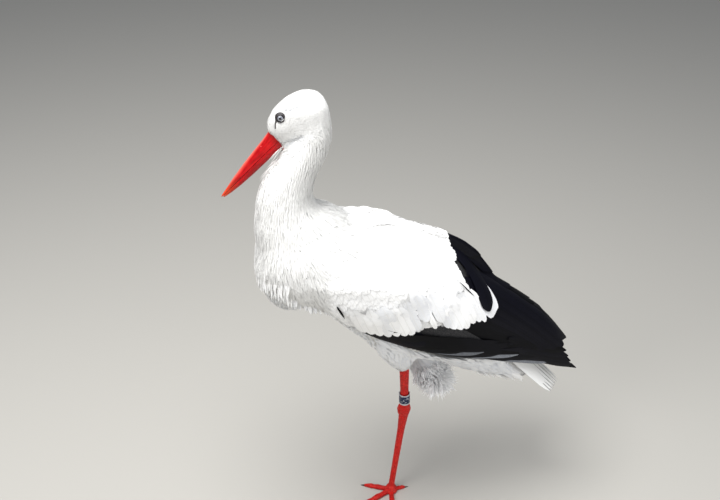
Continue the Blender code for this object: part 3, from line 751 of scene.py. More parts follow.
def feather_material(name, codes, roughness, sheen, silver=None, shaft_width=0.0008):
    """A feather's finish. codes: its colour, its painted-shade colour and its shaft's."""
    body, shaded, shaft = [colour(code) for code in codes]
    vane, shader = new_material(name)
    spot = add_node(vane, "SeparateXYZ", add_node(vane, "UVMap", uv_map="Vane")).node.outputs
    away = add_node(vane, "Math", spot[0], operation="ABSOLUTE")
    barb = add_node(vane, "Math", away, -1.1, spot[1], operation="MULTIPLY_ADD")
    tone_and_shade = add_node(vane, "Attribute", attribute_name="tone_and_shade", pick="Fac")
    along = add_node(vane, "Attribute", attribute_name="along", pick="Fac")
    lines = add_node(vane, "CombineXYZ", barb, away, tone_and_shade)
    drawn = (BARBS_PER_METRE, ALONG_A_BARB, 31.0)
    lines = add_node(vane, "VectorMath", lines, drawn, operation="MULTIPLY")
    streaks = add_node(vane, "TexNoise", Vector=lines, Scale=1.0, Detail=3.0)
    # The tone brings in the feather's own random tone and, where it is given, painted shade
    own = add_node(vane, "Math", tone_and_shade, 0.6, operation="MULTIPLY")
    mottle_and_shade = add_node(vane, "Math", streaks, 0.5, own, operation="MULTIPLY_ADD")
    share = add_node(vane, "MapRange", mottle_and_shade, 0.30, 1.25, **SMOOTH)
    tint = add_node(vane, "Mix", share, _6=body, _7=shaded, **COLOURS)
    # A much higher tone greys further: deeper painted shade in the gape fold and low under the breast,
    # and the grey brow line
    if not silver:
        share = add_node(vane, "MapRange", tone_and_shade, 1.4, 3.0, 0.0, 0.8, **SMOOTH)
        tint = add_node(vane, "Mix", share, _6=tint, _7=colour("85868C"), **COLOURS)
    # Towards the root the colour goes to the shaded one: painted shade where the feathers over it cover
    # its base
    share = add_node(vane, "MapRange", along, 0.0, 0.35, 0.2, 0.0, **SMOOTH)
    tint = add_node(vane, "Mix", share, _6=tint, _7=shaded, **COLOURS)
    if silver:
        web = add_node(vane, "Attribute", attribute_name="web", pick="Fac")
        patchy = add_node(vane, "MapRange", streaks, 0.25, 0.6, 0.55, 1.0, **SMOOTH)
        share = add_node(vane, "Math", web, patchy, operation="MULTIPLY")
        tint = add_node(vane, "Mix", share, _6=tint, _7=colour(silver), **COLOURS)
    on_shaft = add_node(vane, "MapRange", away, shaft_width * 0.45, shaft_width, 0.7, 0.0, **SMOOTH)
    tint = add_node(vane, "Mix", on_shaft, _6=tint, _7=shaft, **COLOURS)
    relief = add_node(vane, "Math", on_shaft, 0.8, streaks, operation="MULTIPLY_ADD")
    relief = add_node(vane, "Bump", Strength=0.45, Distance=0.00025, Height=relief)
    soft = {"Sheen_Weight": sheen, "Sheen_Roughness": 0.4}
    finish(shader, tint, roughness, relief, Specular_IOR_Level=0.08 if silver else 0.5, **soft)
    return vane


# Body feathers are matt, with a faintly blue-grey second colour as painted shade; the tail's are
# stiffer, a little smoother
white_feather = feather_material("white_plumage", ("FAF9F7", "D3D5D9", "E4E3DF"), 0.8, 0.2)
tail_codes = ("FAF9F6", "E3E4E6", "3A3735")
tail_feather = feather_material("white_tail_feather", tail_codes, 0.7, 0.15, shaft_width=0.0018)
# Down has no firm vane, so it is whiter and softer than a feather
down_feather = feather_material("white_down", ("FFFFFF", "F6F6F6", "FFFFFF"), 0.9, 0.3)
# Flight feathers are black with a cold tint and a dull shine; their second, lighter blue-black colour is
# a painted sheen
black_and_sheen_codes = ("040407", "11111C", "020203")
black_feather = feather_material("black_flight_feather", black_and_sheen_codes, 0.55, 0.0, silver="8E929A")
print("feather materials", [m.name for m in (white_feather, tail_feather, down_feather, black_feather)])

# %% [markdown]
# ## The contour feathers
# Roots are scattered over the form so that no two are closer than the tract's spacing: many random
# places are tried in turn, and each one kept clears its neighbours away. From its root a feather
# walks along the form in steps, following the lie. It starts down in the coat and rises to the
# surface at its tip, so tips lie over the roots behind them like shingles.

# %% Tracts: which feathers grow where
CREASE = (  # x and z of the line between the mantle and the wing coverts
    (-0.200, 0.640), (-0.130, 0.615), (-0.030, 0.602), (0.030, 0.574), (0.100, 0.552), (0.300, 0.430),
)
TRACTS = {
    # length, width, spacing, depth at the root as a share of the coat, lift of the tip, raggedness
    "face": (0.0052, 0.0022, 0.00155, 0.6, 0.0002, 0.0005),
    "crown": (0.0085, 0.0028, 0.00200, 0.6, 0.0002, 0.0010),
    "neck": (0.0190, 0.0038, 0.00280, 0.6, 0.0003, 0.0025),
    "shoulder": (0.0310, 0.0062, 0.00400, 0.6, 0.0004, 0.0035),
    "breast": (0.0420, 0.0085, 0.00560, 0.8, 0.0008, 0.0060),
    "mantle": (0.0380, 0.0170, 0.00620, 0.35, 0.0001, 0.0016),
    "coverts": (0.0330, 0.0175, 0.00680, 0.6, 0.0004, 0.0022),
    "belly": (0.0400, 0.0110, 0.00640, 0.8, 0.0010, 0.0060),
    "thigh": (0.0240, 0.0050, 0.00380, 0.8, 0.0008, 0.0040),
}
NAMES = list(TRACTS)
sizes = np.array(list(TRACTS.values()))
print("feather lengths in mm", {name: round(size[0] * 1000) for name, size in TRACTS.items()})


def tract_of(points):
    """The number of each point's tract."""
    x, out, z = points[:, 0], np.abs(points[:, 1] - MID_Y), points[:, 2]
    on_head = is_head(points)
    back = head_local(points)[:, 0]
    share = neck_share(points)
    crease = np.interp(x, *np.array(CREASE).T)
    lower_edge = np.interp(x, (-0.17, -0.08, 0.00, 0.10, 0.30), (0.54, 0.468, 0.452, 0.412, 0.320))
    on_neck = (x < -0.115) & (z > NECK_LOW)
    low_leg = (z < 0.372) & (x < 0.055) & (x > -0.06)
    return np.select(
        [
            on_head & (back < 0.030),
            on_head,
            on_neck & (share > 0.36),
            on_neck,
            (x < -0.165) & (z < NECK_LOW),
            low_leg,
            (z > crease) & (out < 0.2),
            (out > 0.068) & (z > lower_edge),
        ],
        [0, 1, 2, 3, 4, 8, 5, 6],
        7,
    )


# %% [markdown]
# ## Scattering the roots
# A particle system could place the feathers, but it takes no notice of how large each one is. Here a
# face of the form is drawn by chance in proportion to the feathers it needs, a place on it is drawn
# too, and a search tree then thins the places out, each tract to its own spacing.

# %% Scatter places over the form, more of them where the feathers are smaller
corner = form_points[form_faces]
diagonals = corner[:, 2] - corner[:, 0], corner[:, 3] - corner[:, 1]
face_area = np.linalg.norm(np.cross(*diagonals), axis=1)
need = face_area / sizes[tract_of(corner.mean(1)), 2] ** 2
TRIES = 210000  # enough random places to leave no gap between the ones that are kept
picked = chance.choice(len(form_faces), TRIES, p=need / need.sum())
u, v = chance.random((2, len(picked), 1))
scattered = (
    corner[picked, 0] * (1 - u) * (1 - v)
    + corner[picked, 1] * u * (1 - v)
    + corner[picked, 2] * u * v
    + corner[picked, 3] * (1 - u) * v
)


def thin_out(points, spacing):
    """The places kept when each one clears the others within its spacing."""
    tree = KDTree(len(points))
    for index, point in enumerate(points.tolist()):
        tree.insert(point, index)
    tree.balance()
    alive, kept = np.ones(len(points), bool), []
    for index, point in enumerate(points.tolist()):
        if not alive[index]:
            continue
        kept.append(index)
        for _, other, _ in tree.find_range(point, spacing[index]):
            alive[other] = False
    return np.array(kept)


def spaced(places, spacing):
    """The places kept when all keep the same spacing."""
    return places[thin_out(places, np.full(len(places), spacing))]


def walk(roots, lengths, steps):
    """Shaft lines over the form from the roots: stations and outward directions."""
    at, out = snap(roots)
    line, outs = [at], [out]
    for _ in range(steps):
        at, out = snap(at + lie(at, out) * (lengths / steps)[:, None])
        line.append(at)
        outs.append(out)
    return np.stack(line), np.stack(outs)


def barred(points):
    """True where no white feather may reach: the bare face, the black wing, the drawn-up heel."""
    local = head_local(points)
    on_head = is_head(points)
    heel = np.linalg.norm(points - PUFF_AT, axis=1) < 0.030
    return (on_head & (face_mask(local) | at_bill(local))) | is_black(points) | heel


number = tract_of(scattered)
kept = thin_out(scattered, sizes[number, 2] * chance.uniform(0.9, 1.12, len(scattered)))
roots, number = scattered[kept], number[kept]
free = ~barred(roots)
roots, number = roots[free], number[free]
print("roots", len(roots), {n: int((number == k).sum()) for k, n in enumerate(NAMES)})

# %% [markdown]
# ## Growing the tracts
# Face and crown feathers are tiny, neck and breast feathers are narrow lances, and those of the back
# and wing are blunt scales. A feather stops short where bare skin or the black wing begins. Painted
# shade greys the coat underneath and in the fold behind the gape, and a thin grey brow line runs
# behind the eye.

# %% Grow each tract
BLUNT = (0.40, 0.80, 1.00, 1.00, 0.88, 0.50)
LANCE = (0.40, 0.85, 1.00, 0.84, 0.52, 0.06)
FINE = (0.45, 0.95, 1.00, 0.25)
SHAPES = {"face": FINE, "crown": FINE, "neck": LANCE, "shoulder": LANCE, "breast": LANCE, "thigh": LANCE}


def painted_shade_of(points):
    """Painted shade on the white coat, as greyness: none above, more under the breast, wing and belly
    and in the fold behind the gape, with a thin grey brow line behind the eye.
    """
    low = np.interp(points[:, 2], (0.30, 0.42, 0.52, 0.62), (1.0, 0.85, 0.30, 0.0))
    flat = head_local(points)[:, (0, 2)]
    crease = np.exp(-((near_line(flat, GAPE_FOLD)[0] / 0.0035) ** 2))
    brow = np.exp(-((near_line(flat, BROW)[0] / 0.0013) ** 2))
    return low + (2.3 * crease + 2.8 * brow) * is_head(points)


def grow(name, mine, size, shape, columns=4, bow=0.10, lift_by=0.0, rounded=0.0):
    """Feathers of one tract from the given roots, as one piece."""
    length, width, _, sunk, lift, ragged = size
    shape = np.array(shape)
    steps = len(shape) - 1
    scale = np.ones(len(mine))
    if name in ("neck", "strands"):
        scale = 1.25 - 0.45 * neck_share(mine)
    if name in ("face", "crown"):
        back = np.clip(head_local(mine)[:, 0], 0, 0.1)
        scale = 0.8 + 2.2 * back / (0.1 if name == "face" else 0.35)
    low_front = (mine[:, 0] < -0.06) & (name not in ("coverts", "mantle"))
    over_edge = mine[:, 2] - np.interp(mine[:, 0], (-0.26, -0.19, -0.11), (0.560, 0.514, 0.490))
    scale = np.where(low_front, scale * np.clip(over_edge / 0.045, 0.35, 1.0), scale)
    lengths = length * scale * chance.uniform(0.85, 1.15, len(mine))
    line, out = walk(mine, lengths, steps)
    stopped = barred(line.reshape(-1, 3)).reshape(steps + 1, -1)
    reach = np.where(stopped.any(0), (stopped.argmax(0) - 0.6) / steps, 1.0)
    keep = reach > 0.25
    mine, lengths = mine[keep], (lengths * reach)[keep]
    line, out = walk(mine, lengths, steps)
    count = len(mine)
    share = np.linspace(0, 1, steps + 1)[:, None]
    half = shape[:, None] * (width / 2 * scale[keep] * chance.uniform(0.88, 1.12, count))
    rise = lift_by + lift * share - coat_depth(mine) * sunk * (1 - share) ** 1.2
    rise = rise + chance.normal(0, lift * 0.30, count)
    fold, _ = near_line(head_local(mine)[:, (0, 2)], GAPE_FOLD)
    rise = rise - 0.0012 * is_head(mine) * np.exp(-((fold / 0.003) ** 2))
    # Random tone for each feather, plus painted shade low on the body and in the gape fold
    tones_and_shade = chance.random(count) * 0.4 + painted_shade_of(mine)
    return make_tract(
        f"coat_{name}", line, out, half, half, rise, tones_and_shade, white_feather, columns=columns, bow=bow,
        roll=chance.normal(0, 0.03, count), ragged=ragged, rounded=rounded,
    )


for index, tract in enumerate(NAMES):
    blunt = tract not in SHAPES
    grow(
        tract, roots[number == index], TRACTS[tract], SHAPES.get(tract, BLUNT),
        columns=2 if index < 3 else 4, bow=0.06 if blunt else 0.10, rounded=0.75 if blunt else 0.0,
    )

# %% Fine loose strands over neck and breast
STRAND = (0.0260, 0.0013, 0.0034, 0.3, 0.0008, 0.0)
THREAD = (0.5, 0.9, 1.0, 0.7, 0.1)
front = [NAMES.index(name) for name in ("neck", "shoulder", "breast")]
mine = spaced(scattered[np.isin(tract_of(scattered), front)], STRAND[2])
grow("strands", mine, STRAND, THREAD, columns=2, bow=0.2, lift_by=0.0007)

# %% [markdown]
# ## The folded wings
# A folded wing is a stack of long blades. The greater coverts end in a scalloped white line over the
# black secondaries, the broad tertials cover the wing's rear, and the primaries make its point. Each
# blade is given by its root and its tip as seen from the side, in metres, and is carried sideways
# onto the form. The right wing mirrors the left.

# %% Blades from root and tip in side view
def blades(ends, stations=12, bend=0.0):
    """Shaft lines over the left wing: (x, z) of root and tip, carried onto the form."""
    lines, outs = [], []
    for (root_x, root_z), (tip_x, tip_z) in ends:
        share = np.linspace(0, 1, stations)
        sag = bend * np.sin(math.pi * share)
        x = root_x + (tip_x - root_x) * share + sag * (tip_z - root_z)
        z = root_z + (tip_z - root_z) * share - sag * (tip_x - root_x)
        hits = []
        for a, b in zip(x, z):
            at, _, index, _ = form_tree.ray_cast((a, -0.4, b), (0, 1, 0), 0.4 + MID_Y)
            hits.append((at.y, *face_normals[index]) if at else (np.nan,) * 4)
        hits = np.array(hits)
        known = ~np.isnan(hits[:, 0])
        degree = 3 if known.sum() > 5 else 1
        fit = [np.polyval(np.polyfit(share[known], hits[known, k], degree), share) for k in range(4)]
        last = share[known][-1]
        for k in range(4):
            slope = np.gradient(fit[k], share)[known][-1]
            beyond = share > last
            fit[k][beyond] = fit[k][known][-1] + 0.5 * slope * (share[beyond] - last)
        lines.append(np.stack([x, fit[0], z], 1))
        outs.append(unit(np.stack(fit[1:], 1)))
    return np.stack(lines, 1), np.stack(outs, 1)


def profile(points, stations=12):
    """A width profile through (share of the way, share of the width) points."""
    return np.interp(np.linspace(0, 1, stations), *np.array(points).T)[:, None]


FLIGHT = ((0, 0.25), (0.12, 0.75), (0.4, 1.0), (0.8, 0.95), (0.92, 0.72), (1.0, 0.22))
POINTED = ((0, 0.3), (0.15, 0.8), (0.5, 1.0), (0.75, 0.82), (0.92, 0.45), (1.0, 0.10))
ROUND = ((0, 0.35), (0.25, 0.85), (0.6, 1.0), (0.88, 0.95), (1.0, 0.60))
print("a flight feather's width along its length", profile(FLIGHT, 6)[:, 0].round(2))


def both_wings(name, ends, outer, inner, rise, shape, material, **more):
    """The same blades on the left wing and, mirrored, on the right."""
    stations = more.pop("stations", 12)
    line, out = blades(ends, stations, more.pop("bend", 0.0))
    count = len(ends)
    made = []
    widths = profile(shape, stations)
    rise = np.broadcast_to(rise, (count,))[None] + np.zeros((stations, 1))
    rise = rise + more.pop("lift", 0.0) * np.linspace(0, 1, stations)[:, None] ** 1.5
    tones_and_shade = chance.random(count)
    roll = np.broadcast_to(more.pop("roll", 0.05), (count,))
    for side, sign in (("left", 1), ("right", -1)):
        flip = np.array((1, sign, 1))
        place = line * flip + np.array((0, 0 if sign > 0 else 2 * MID_Y, 0))
        halves = [widths * np.broadcast_to(half, (count,))[None] for half in (inner, outer)[::sign]]
        made.append(
            make_tract(
                f"{name}_{side}", place, out * flip, *halves, rise, tones_and_shade, material,
                roll=roll * sign, outer=sign, **more,
            )
        )
    return made


# %% [markdown]
# ## Black flight feathers
# Primaries lie lowest, secondaries over them and tertials on top, each a little higher than the one
# before it, as in a closed fan. The inner primaries are the shorter ones. Some secondaries show a
# silvery outer web. The right wing is the same, mirrored.

# %% Black flight feathers, from the lowest layer up
PRIMARIES = [
    ((0.215, 0.372), (0.391, 0.258)),
    ((0.212, 0.380), (0.378, 0.272)),
    ((0.210, 0.390), (0.366, 0.290)),
    ((0.205, 0.400), (0.360, 0.306)),
    ((0.200, 0.410), (0.352, 0.322)),
]
SECONDARIES = [
    ((0.150, 0.376), (0.316, 0.308)),
    ((0.110, 0.398), (0.275, 0.336)),
    ((0.070, 0.414), (0.232, 0.360)),
    ((0.030, 0.430), (0.190, 0.377)),
    ((-0.010, 0.446), (0.150, 0.396)),
    ((-0.045, 0.458), (0.108, 0.413)),
    ((-0.075, 0.470), (0.066, 0.428)),
    ((-0.086, 0.480), (0.026, 0.446)),
    ((-0.088, 0.486), (-0.018, 0.457)),
]
TERTIALS = [
    ((0.060, 0.500), (0.228, 0.386)),
    ((0.070, 0.515), (0.262, 0.368)),
    ((0.080, 0.530), (0.292, 0.354)),
    ((0.092, 0.545), (0.318, 0.346)),
    ((0.104, 0.556), (0.340, 0.340)),
    ((0.118, 0.560), (0.356, 0.338)),
]
SILVER = np.array((0.8, 0.0, 0.9, 0.0, 0.6, 0, 0, 0, 0))  # the secondaries whose grey outer web shows
BLACK = {"slot": "plumage_black"}
steps = np.arange(len(SECONDARIES))
made = both_wings(
    "primaries", PRIMARIES, 0.010, 0.015, -0.0025 + 0.0012 * np.arange(5), POINTED, black_feather,
    bow=0.16, roll=0.06, columns=6, ragged=0.0010, **BLACK,
)
for piece, (_, side) in zip(made, SIDES):
    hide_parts(f"wing_{side}_primaries")
both_wings(
    "secondaries", SECONDARIES, 0.013, 0.034, -0.0010 + 0.0007 * steps, FLIGHT, black_feather,
    web=SILVER, bow=0.12, roll=0.04, columns=8, ragged=0.0010, rounded=0.3, **BLACK,
)
both_wings(
    "tertials", TERTIALS, 0.021, 0.021, -0.0045 + 0.0009 * np.arange(6), FLIGHT, black_feather,
    lift=0.0065, stations=14, bow=0.12, roll=0.0, columns=8, ragged=0.0008, rounded=0.4, bend=-0.03,
    draped=True, **BLACK,
)

# %% [markdown]
# ## The ridge of the back
# Behind the shoulders the inner feathers of both wings meet and make one black ridge. They are grown
# on the form in rows of four, each stepping back and down, and laid whole on the surface, because
# broad stiff blades would cut through one another where the ridge is narrow.

# %% Black feathers that meet over the ridge of the back
RIDGE_ROWS = (  # x of the roots, length, half width
    (0.094, 0.085, 0.0145), (0.112, 0.110, 0.0180), (0.140, 0.130, 0.0190), (0.175, 0.150, 0.0190),
    (0.215, 0.140, 0.0170), (0.255, 0.105, 0.0140), (0.285, 0.080, 0.0120),
)
RIDGE_STEPS = 9
starts, lengths, halves = [], [], []
for x, length, half in RIDGE_ROWS:
    for out in (-0.026, -0.009, 0.009, 0.026):
        starts.append((x + 0.4 * abs(out), MID_Y + out, np.interp(x, *RIDGE) + 0.05))
        lengths.append(length)
        halves.append(half)
count = len(starts)
at, outward = snap(np.array(starts))
line, outs = [at], [outward]
side_of = np.sign(at[:, 1] - MID_Y)
for _ in range(RIDGE_STEPS):
    way = unit(np.stack([np.full(count, 0.80), 0.10 * side_of, np.full(count, -0.60)], 1))
    way = unit(way - outward * (way * outward).sum(1, keepdims=True))
    at = line[-1] + way * (np.array(lengths) / RIDGE_STEPS)[:, None]
    found, outward = snap(at)
    line.append(found)
    outs.append(unit(outs[-1] + outward))
half = profile(FLIGHT, RIDGE_STEPS + 1) * np.array(halves)[None]
rise = np.linspace(-0.003, 0.0010, RIDGE_STEPS + 1)[:, None] + np.linspace(0.0026, 0.0008, count)[None]
make_tract(
    "ridge_feathers", np.stack(line), np.stack(outs), half, half, rise, chance.random(count),
    black_feather, columns=8, bow=0.12, rounded=0.5, ragged=0.0010, draped=True, **BLACK,
)

# %% [markdown]
# ## White coverts
# The greater coverts end in a row of soft scallops over the black. Their tips are what the eye sees,
# so each is given by its tip, and its root follows from its length. A few long feathers have slipped
# out of order: a white one and a black one over the wing, and two black slivers.

# %% White coverts in rows over them, and the long feathers that have slipped over the wing
COVERT_TIPS = (  # x, z, half width: broad soft scallops, with two deep notches between the rear ones
    (-0.084, 0.486, 0.010), (-0.071, 0.481, 0.011), (-0.057, 0.480, 0.011), (-0.043, 0.480, 0.011),
    (-0.029, 0.482, 0.011), (-0.015, 0.482, 0.011), (-0.003, 0.482, 0.010), (0.008, 0.492, 0.008),
    (0.022, 0.509, 0.010), (0.039, 0.490, 0.0045), (0.052, 0.501, 0.009), (0.066, 0.484, 0.007),
    (0.078, 0.479, 0.009), (0.091, 0.475, 0.010), (0.105, 0.471, 0.009), (0.119, 0.475, 0.009),
    (0.132, 0.474, 0.008), (0.143, 0.470, 0.006),
)
DOWN_AND_BACK = np.array((0.42, -0.907))  # the way a covert points, in x and z
tips = np.array(COVERT_TIPS)


def row_to(tips, length):
    """Roots and tips of a row that all point down and back."""
    lengths = length * chance.uniform(0.93, 1.07, len(tips))
    return [(tuple(tip - DOWN_AND_BACK * step), tuple(tip)) for tip, step in zip(tips, lengths)]


both_wings(
    "greater_coverts", row_to(tips[:, :2], 0.060), tips[:, 2] * 1.15, tips[:, 2] * 1.15, 0.0046, ROUND,
    white_feather, bow=0.10, roll=-0.04, columns=8, rounded=0.70, ragged=0.0018, lift=0.0010, stations=9,
)
edge = tips[:, :2] + np.array((-0.010, 0.024)) + chance.normal(0, 0.002, (len(tips), 2))
edge[:, 1] = np.minimum(edge[:, 1], np.interp(edge[:, 0], (-0.09, 0.0, 0.15), (0.56, 0.56, 0.53)))
both_wings(
    "median_coverts", row_to(edge, 0.046), 0.0125, 0.0125, 0.0040, ROUND,
    white_feather, bow=0.06, roll=-0.03, columns=8, rounded=0.8, ragged=0.0024, lift=0.0008, stations=8,
)
CRESCENT = ((0, 0.10), (0.45, 0.25), (0.62, 0.85), (0.8, 1.10), (0.92, 1.0), (1.0, 0.60))
both_wings(
    "slipped_feather_white", [((0.120, 0.582), (0.1570, 0.4700))], 0.0215, 0.0215, -0.0020, CRESCENT,
    white_feather, bow=0.10, roll=0.0, columns=8, rounded=0.7, ragged=0.0020, stations=14, bend=-0.10,
    lift=0.0085,
)
both_wings(
    "slipped_feather_black", [((0.106, 0.592), (0.1500, 0.4840))], 0.0195, 0.0195, 0.0005,
    ((0, 0.55), (0.1, 0.9), (0.5, 1.0), (0.8, 0.97), (0.93, 0.75), (1.0, 0.4)), black_feather,
    bow=0.16, roll=0.0, columns=10, rounded=0.5, ragged=0.0006, stations=14, bend=-0.10, lift=0.0085,
    **BLACK,
)
slivers = [((-0.141, 0.562), (-0.125, 0.532)), ((0.090, 0.556), (0.120, 0.523))]
thin = np.array((0.0023, 0.0014))
both_wings(
    "slipped_slivers_black", slivers, thin, thin, np.array((0.0034, 0.0052)), POINTED, black_feather,
    columns=2, stations=6, **BLACK,
)

# %% [markdown]
# ## Tail, plumes and the drawn-up leg
# The tail is twelve white blades folded like a low roof, the middle pair on top, with soft pointed
# coverts under it. From the lower foreneck long narrow plumes hang free. The drawn-up leg ends in a
# burst of white down round its heel: blades sent out from one place in even steps of the golden angle.

# %% Tail feathers
axis = np.array((TAIL_TIP - TAIL_ROOT).normalized())
above = np.array((-axis[2], 0, axis[0]))
order = np.array(sorted(np.arange(12) - 5.5, key=lambda k: -abs(k)))
share = np.linspace(0, 1, 14)[:, None]
fan = np.radians(order * 1.15)[None]
length = (TAIL_TIP - TAIL_ROOT).length * (1.03 - 0.020 * np.abs(order))[None]
side_way = np.array((0.0, 1.0, 0.0))
line = np.array(TAIL_ROOT)[None, None] + (share * length * np.cos(fan))[..., None] * axis
spread = np.sign(order) * 0.0020 * np.abs(order) ** 1.35
line = line + (share * length * np.sin(fan) + spread[None])[..., None] * side_way
line = line + (0.006 * np.sin(math.pi * share) - 0.00018 * order[None] ** 2)[..., None] * above
tilt = np.radians(order * 6.5)[None, :, None]
out = np.broadcast_to(above * np.cos(tilt) + side_way * np.sin(tilt), line.shape)
SOFT_POINT = ((0, 0.3), (0.2, 0.8), (0.6, 1.0), (0.85, 0.8), (0.95, 0.5), (1.0, 0.12))
widths = profile(SOFT_POINT, 14) * 0.0130 * np.ones((1, 12))
rise = 0.0016 * np.arange(12)[None] - 0.006 + 0 * share
tail = make_tract(
    "tail_feathers", line, out, widths, widths, rise, chance.random(12) * 0.3, tail_feather,
    columns=6, bow=0.10, rounded=0.3, ragged=0.001,
)
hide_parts("tail")


# %% [markdown]
# ## Feathers that hang free
# A plume begins along the coat and then gives in to its weight. Each step of its line mixes the lie
# of the coat with the way it falls, and a step that would go into the body is put back on the form.
# Hair curves could do it, but blades of a few faces show their width and take the same finish.

# %% Loose feathers that start on the form and hang free
def hang(name, roots, lengths, fall, widths, tones_and_shade, profile_points, **more):
    """Narrow feathers that leave the form and bend towards the way they fall."""
    count, steps = len(roots), 8
    at, outward = snap(roots)
    line, outs = [at], [outward]
    for step in range(steps):
        share = (step + 1) / steps
        way = lie(at, outward) * (1 - share) + fall * share + chance.normal(0, 0.03, (count, 3))
        at = at + unit(way) * (lengths / steps)[:, None]
        on_form, outward = snap(at)
        inside = ((at - on_form) * outward).sum(1, keepdims=True) < 0.0005
        at = np.where(inside, on_form, at)
        line.append(at)
        outs.append(unit(outs[-1] * 0.6 + outward * 0.4))
    half = profile(profile_points, steps + 1) * widths[None]
    rise = np.linspace(-0.004, 0.0014, steps + 1)[:, None] + chance.normal(0, 0.0005, count)[None]
    return make_tract(
        name, np.stack(line), np.stack(outs), half, half, rise, tones_and_shade, white_feather,
        bow=0.2, roll=chance.normal(0, 0.2, count), **more,
    )


LANCET = ((0, 0.4), (0.25, 0.9), (0.5, 1.0), (0.8, 0.7), (1.0, 0.08))
print("a plume's width along its length", profile(LANCET, 6)[:, 0].round(2))

# %% Hanging plumes of the lower foreneck
spot = (scattered[:, 0] < -0.150) & (scattered[:, 2] < 0.640) & (scattered[:, 2] > 0.500)
spot &= np.abs(scattered[:, 1] - MID_Y) < 0.068
hung = spaced(scattered[spot], 0.0070)
count = len(hung)
lowest = np.interp(hung[:, 0], (-0.26, -0.19, -0.15), (0.556, 0.507, 0.490))
lowest += 0.36 * np.abs(hung[:, 1] - MID_Y)
above = hung[:, 2] - lowest
near_edge = np.clip(1 - above / 0.022, 0, 1)
reach_down = np.maximum(np.clip(above, 0.004, 0.055), 0.024 * near_edge)
back = 0.10 + 0.3 * (hung[:, 0] + 0.2) + 1.2 * near_edge
fall = unit(np.stack([back, 0.10 * np.sign(hung[:, 1] - MID_Y), 0.5 * near_edge - 1], 1))
# Random tone plus painted shade, strongest near the lower edge of the breast
tones_and_shade = painted_shade_of(hung) + chance.uniform(0, 0.7, count) + 0.9 * near_edge
hang(
    "coat_plumes", hung, reach_down * chance.uniform(0.75, 1.1, count), fall,
    chance.uniform(0.0024, 0.0044, count), tones_and_shade, LANCET, columns=2,
)

# %% A few loose wisps on the front of the neck
count = 18
height = chance.choice((0.792, 0.800, 0.822), count) + chance.normal(0, 0.002, count)
roots = np.stack([np.full(count, -0.30), MID_Y + chance.normal(0.007, 0.004, count), height], 1)
starts = []
for root in roots.tolist():
    starts.append(form_tree.ray_cast(root, (1, 0, 0))[0][:])
way = unit(np.array((-0.76, 0.04, -0.62)) + chance.normal(0, 0.10, (count, 3)))
length = chance.uniform(0.016, 0.034, count)[:, None]
share = np.linspace(-0.15, 1, 6)[:, None, None]
line = np.array(starts)[None] + way[None] * length[None] * share
line[..., 2] -= 0.25 * length.T * np.clip(share[..., 0], 0, 1) ** 2
outs = np.broadcast_to(unit(np.cross(way, np.array((0.0, 1.0, 0.0)))), line.shape)
half = profile(LANCET, 6) * chance.uniform(0.0005, 0.0009, count)[None]
make_tract(
    "coat_wisps", line, outs, half, half, np.zeros((6, count)), chance.random(count) * 0.3,
    white_feather, columns=2, bow=0.2,
)

# %% Soft pointed coverts under the tail
spot = (scattered[:, 0] > 0.130) & (scattered[:, 0] < 0.228) & (scattered[:, 2] < 0.340)
spot &= np.abs(scattered[:, 1] - MID_Y) < 0.028
hung = spaced(scattered[spot], 0.0075)
count = len(hung)
fall = unit(np.array((0.80, 0.0, -0.60))) + np.zeros((count, 3))
# Their tones run higher than the tail's: painted shade under the tail
hang(
    "undertail_coverts", hung, chance.uniform(0.040, 0.062, count), fall,
    chance.uniform(0.0045, 0.0075, count), chance.uniform(0.3, 1.1, count), LANCET, columns=4,
)

# %% The burst of down at the drawn-up heel
GOLDEN_ANGLE = math.radians(137.5)
count = 1300
turn = np.arange(count) * GOLDEN_ANGLE
up = 1 - 2 * (np.arange(count) + 0.5) / count
flat = np.sqrt(1 - up**2)
way = np.stack([np.cos(turn) * flat, np.sin(turn) * flat, up], 1)
way = unit(way + chance.normal(0, 0.20, way.shape))
reach = chance.uniform(0.020, 0.030, count)
longer = chance.random(count) < 0.25
reach[longer] += 0.006
start = PUFF_AT + way * 0.012

# The same feathers, shorter, cover the skin of the heel itself
HEEL_SKIN = PUFF_AT + np.array((-0.010, -0.012, 0.006))
on_heel = spaced(scattered[np.linalg.norm(scattered - HEEL_SKIN, axis=1) < 0.040], 0.0016)
_, outward = snap(on_heel)
heel_way = unit(outward + 0.6 * unit(PUFF_AT - on_heel) + chance.normal(0, 0.30, on_heel.shape))
start = np.concatenate([start, on_heel - outward * 0.001])
way = np.concatenate([way, heel_way])
reach = np.concatenate([reach, chance.uniform(0.010, 0.018, len(on_heel))])
count = len(start)
print("puff", count, "feathers,", len(on_heel), "of them on the heel")

share = np.linspace(0, 1, 5)[:, None, None]
sag = np.array((0.05, 0, -0.10)) * reach[None, :, None] * share**2
line = start[None] + way[None] * reach[None, :, None] * share + sag
outs = unit(np.cross(way, chance.normal(0, 1, way.shape)))
outs = np.broadcast_to(outs, line.shape)
half = profile(LANCET, 5) * chance.uniform(0.0007, 0.0015, count)[None]
make_tract(
    "coat_puff", line, outs, half, half, np.zeros((5, count)), chance.random(count) * 0.2, down_feather,
    columns=2, bow=0.3,
)

# %% [markdown]
# ## Bill
# A stork's bill is horn over bone: long, straight, wedge-shaped and deep red, with a painted highlight
# along the ridge, and more orange at the tip. Both mandibles are melted from their own solids, so that
# the line where they close stays, and the slit of each nostril is pressed into the upper one.


# %% Mandibles
def melted(names, name, voxel, rounds):
    """One smooth piece from CAD nodes."""
    obj = copies_of(names, name)
    melt(obj, voxel, 0.0)
    ease(obj, rounds)
    select_only(obj)
    bpy.ops.object.shade_smooth()
    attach(obj, "root")
    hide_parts(*names)
    obj.data.calc_loop_triangles()
    print(name, len(obj.data.loop_triangles), "triangles")
    return obj


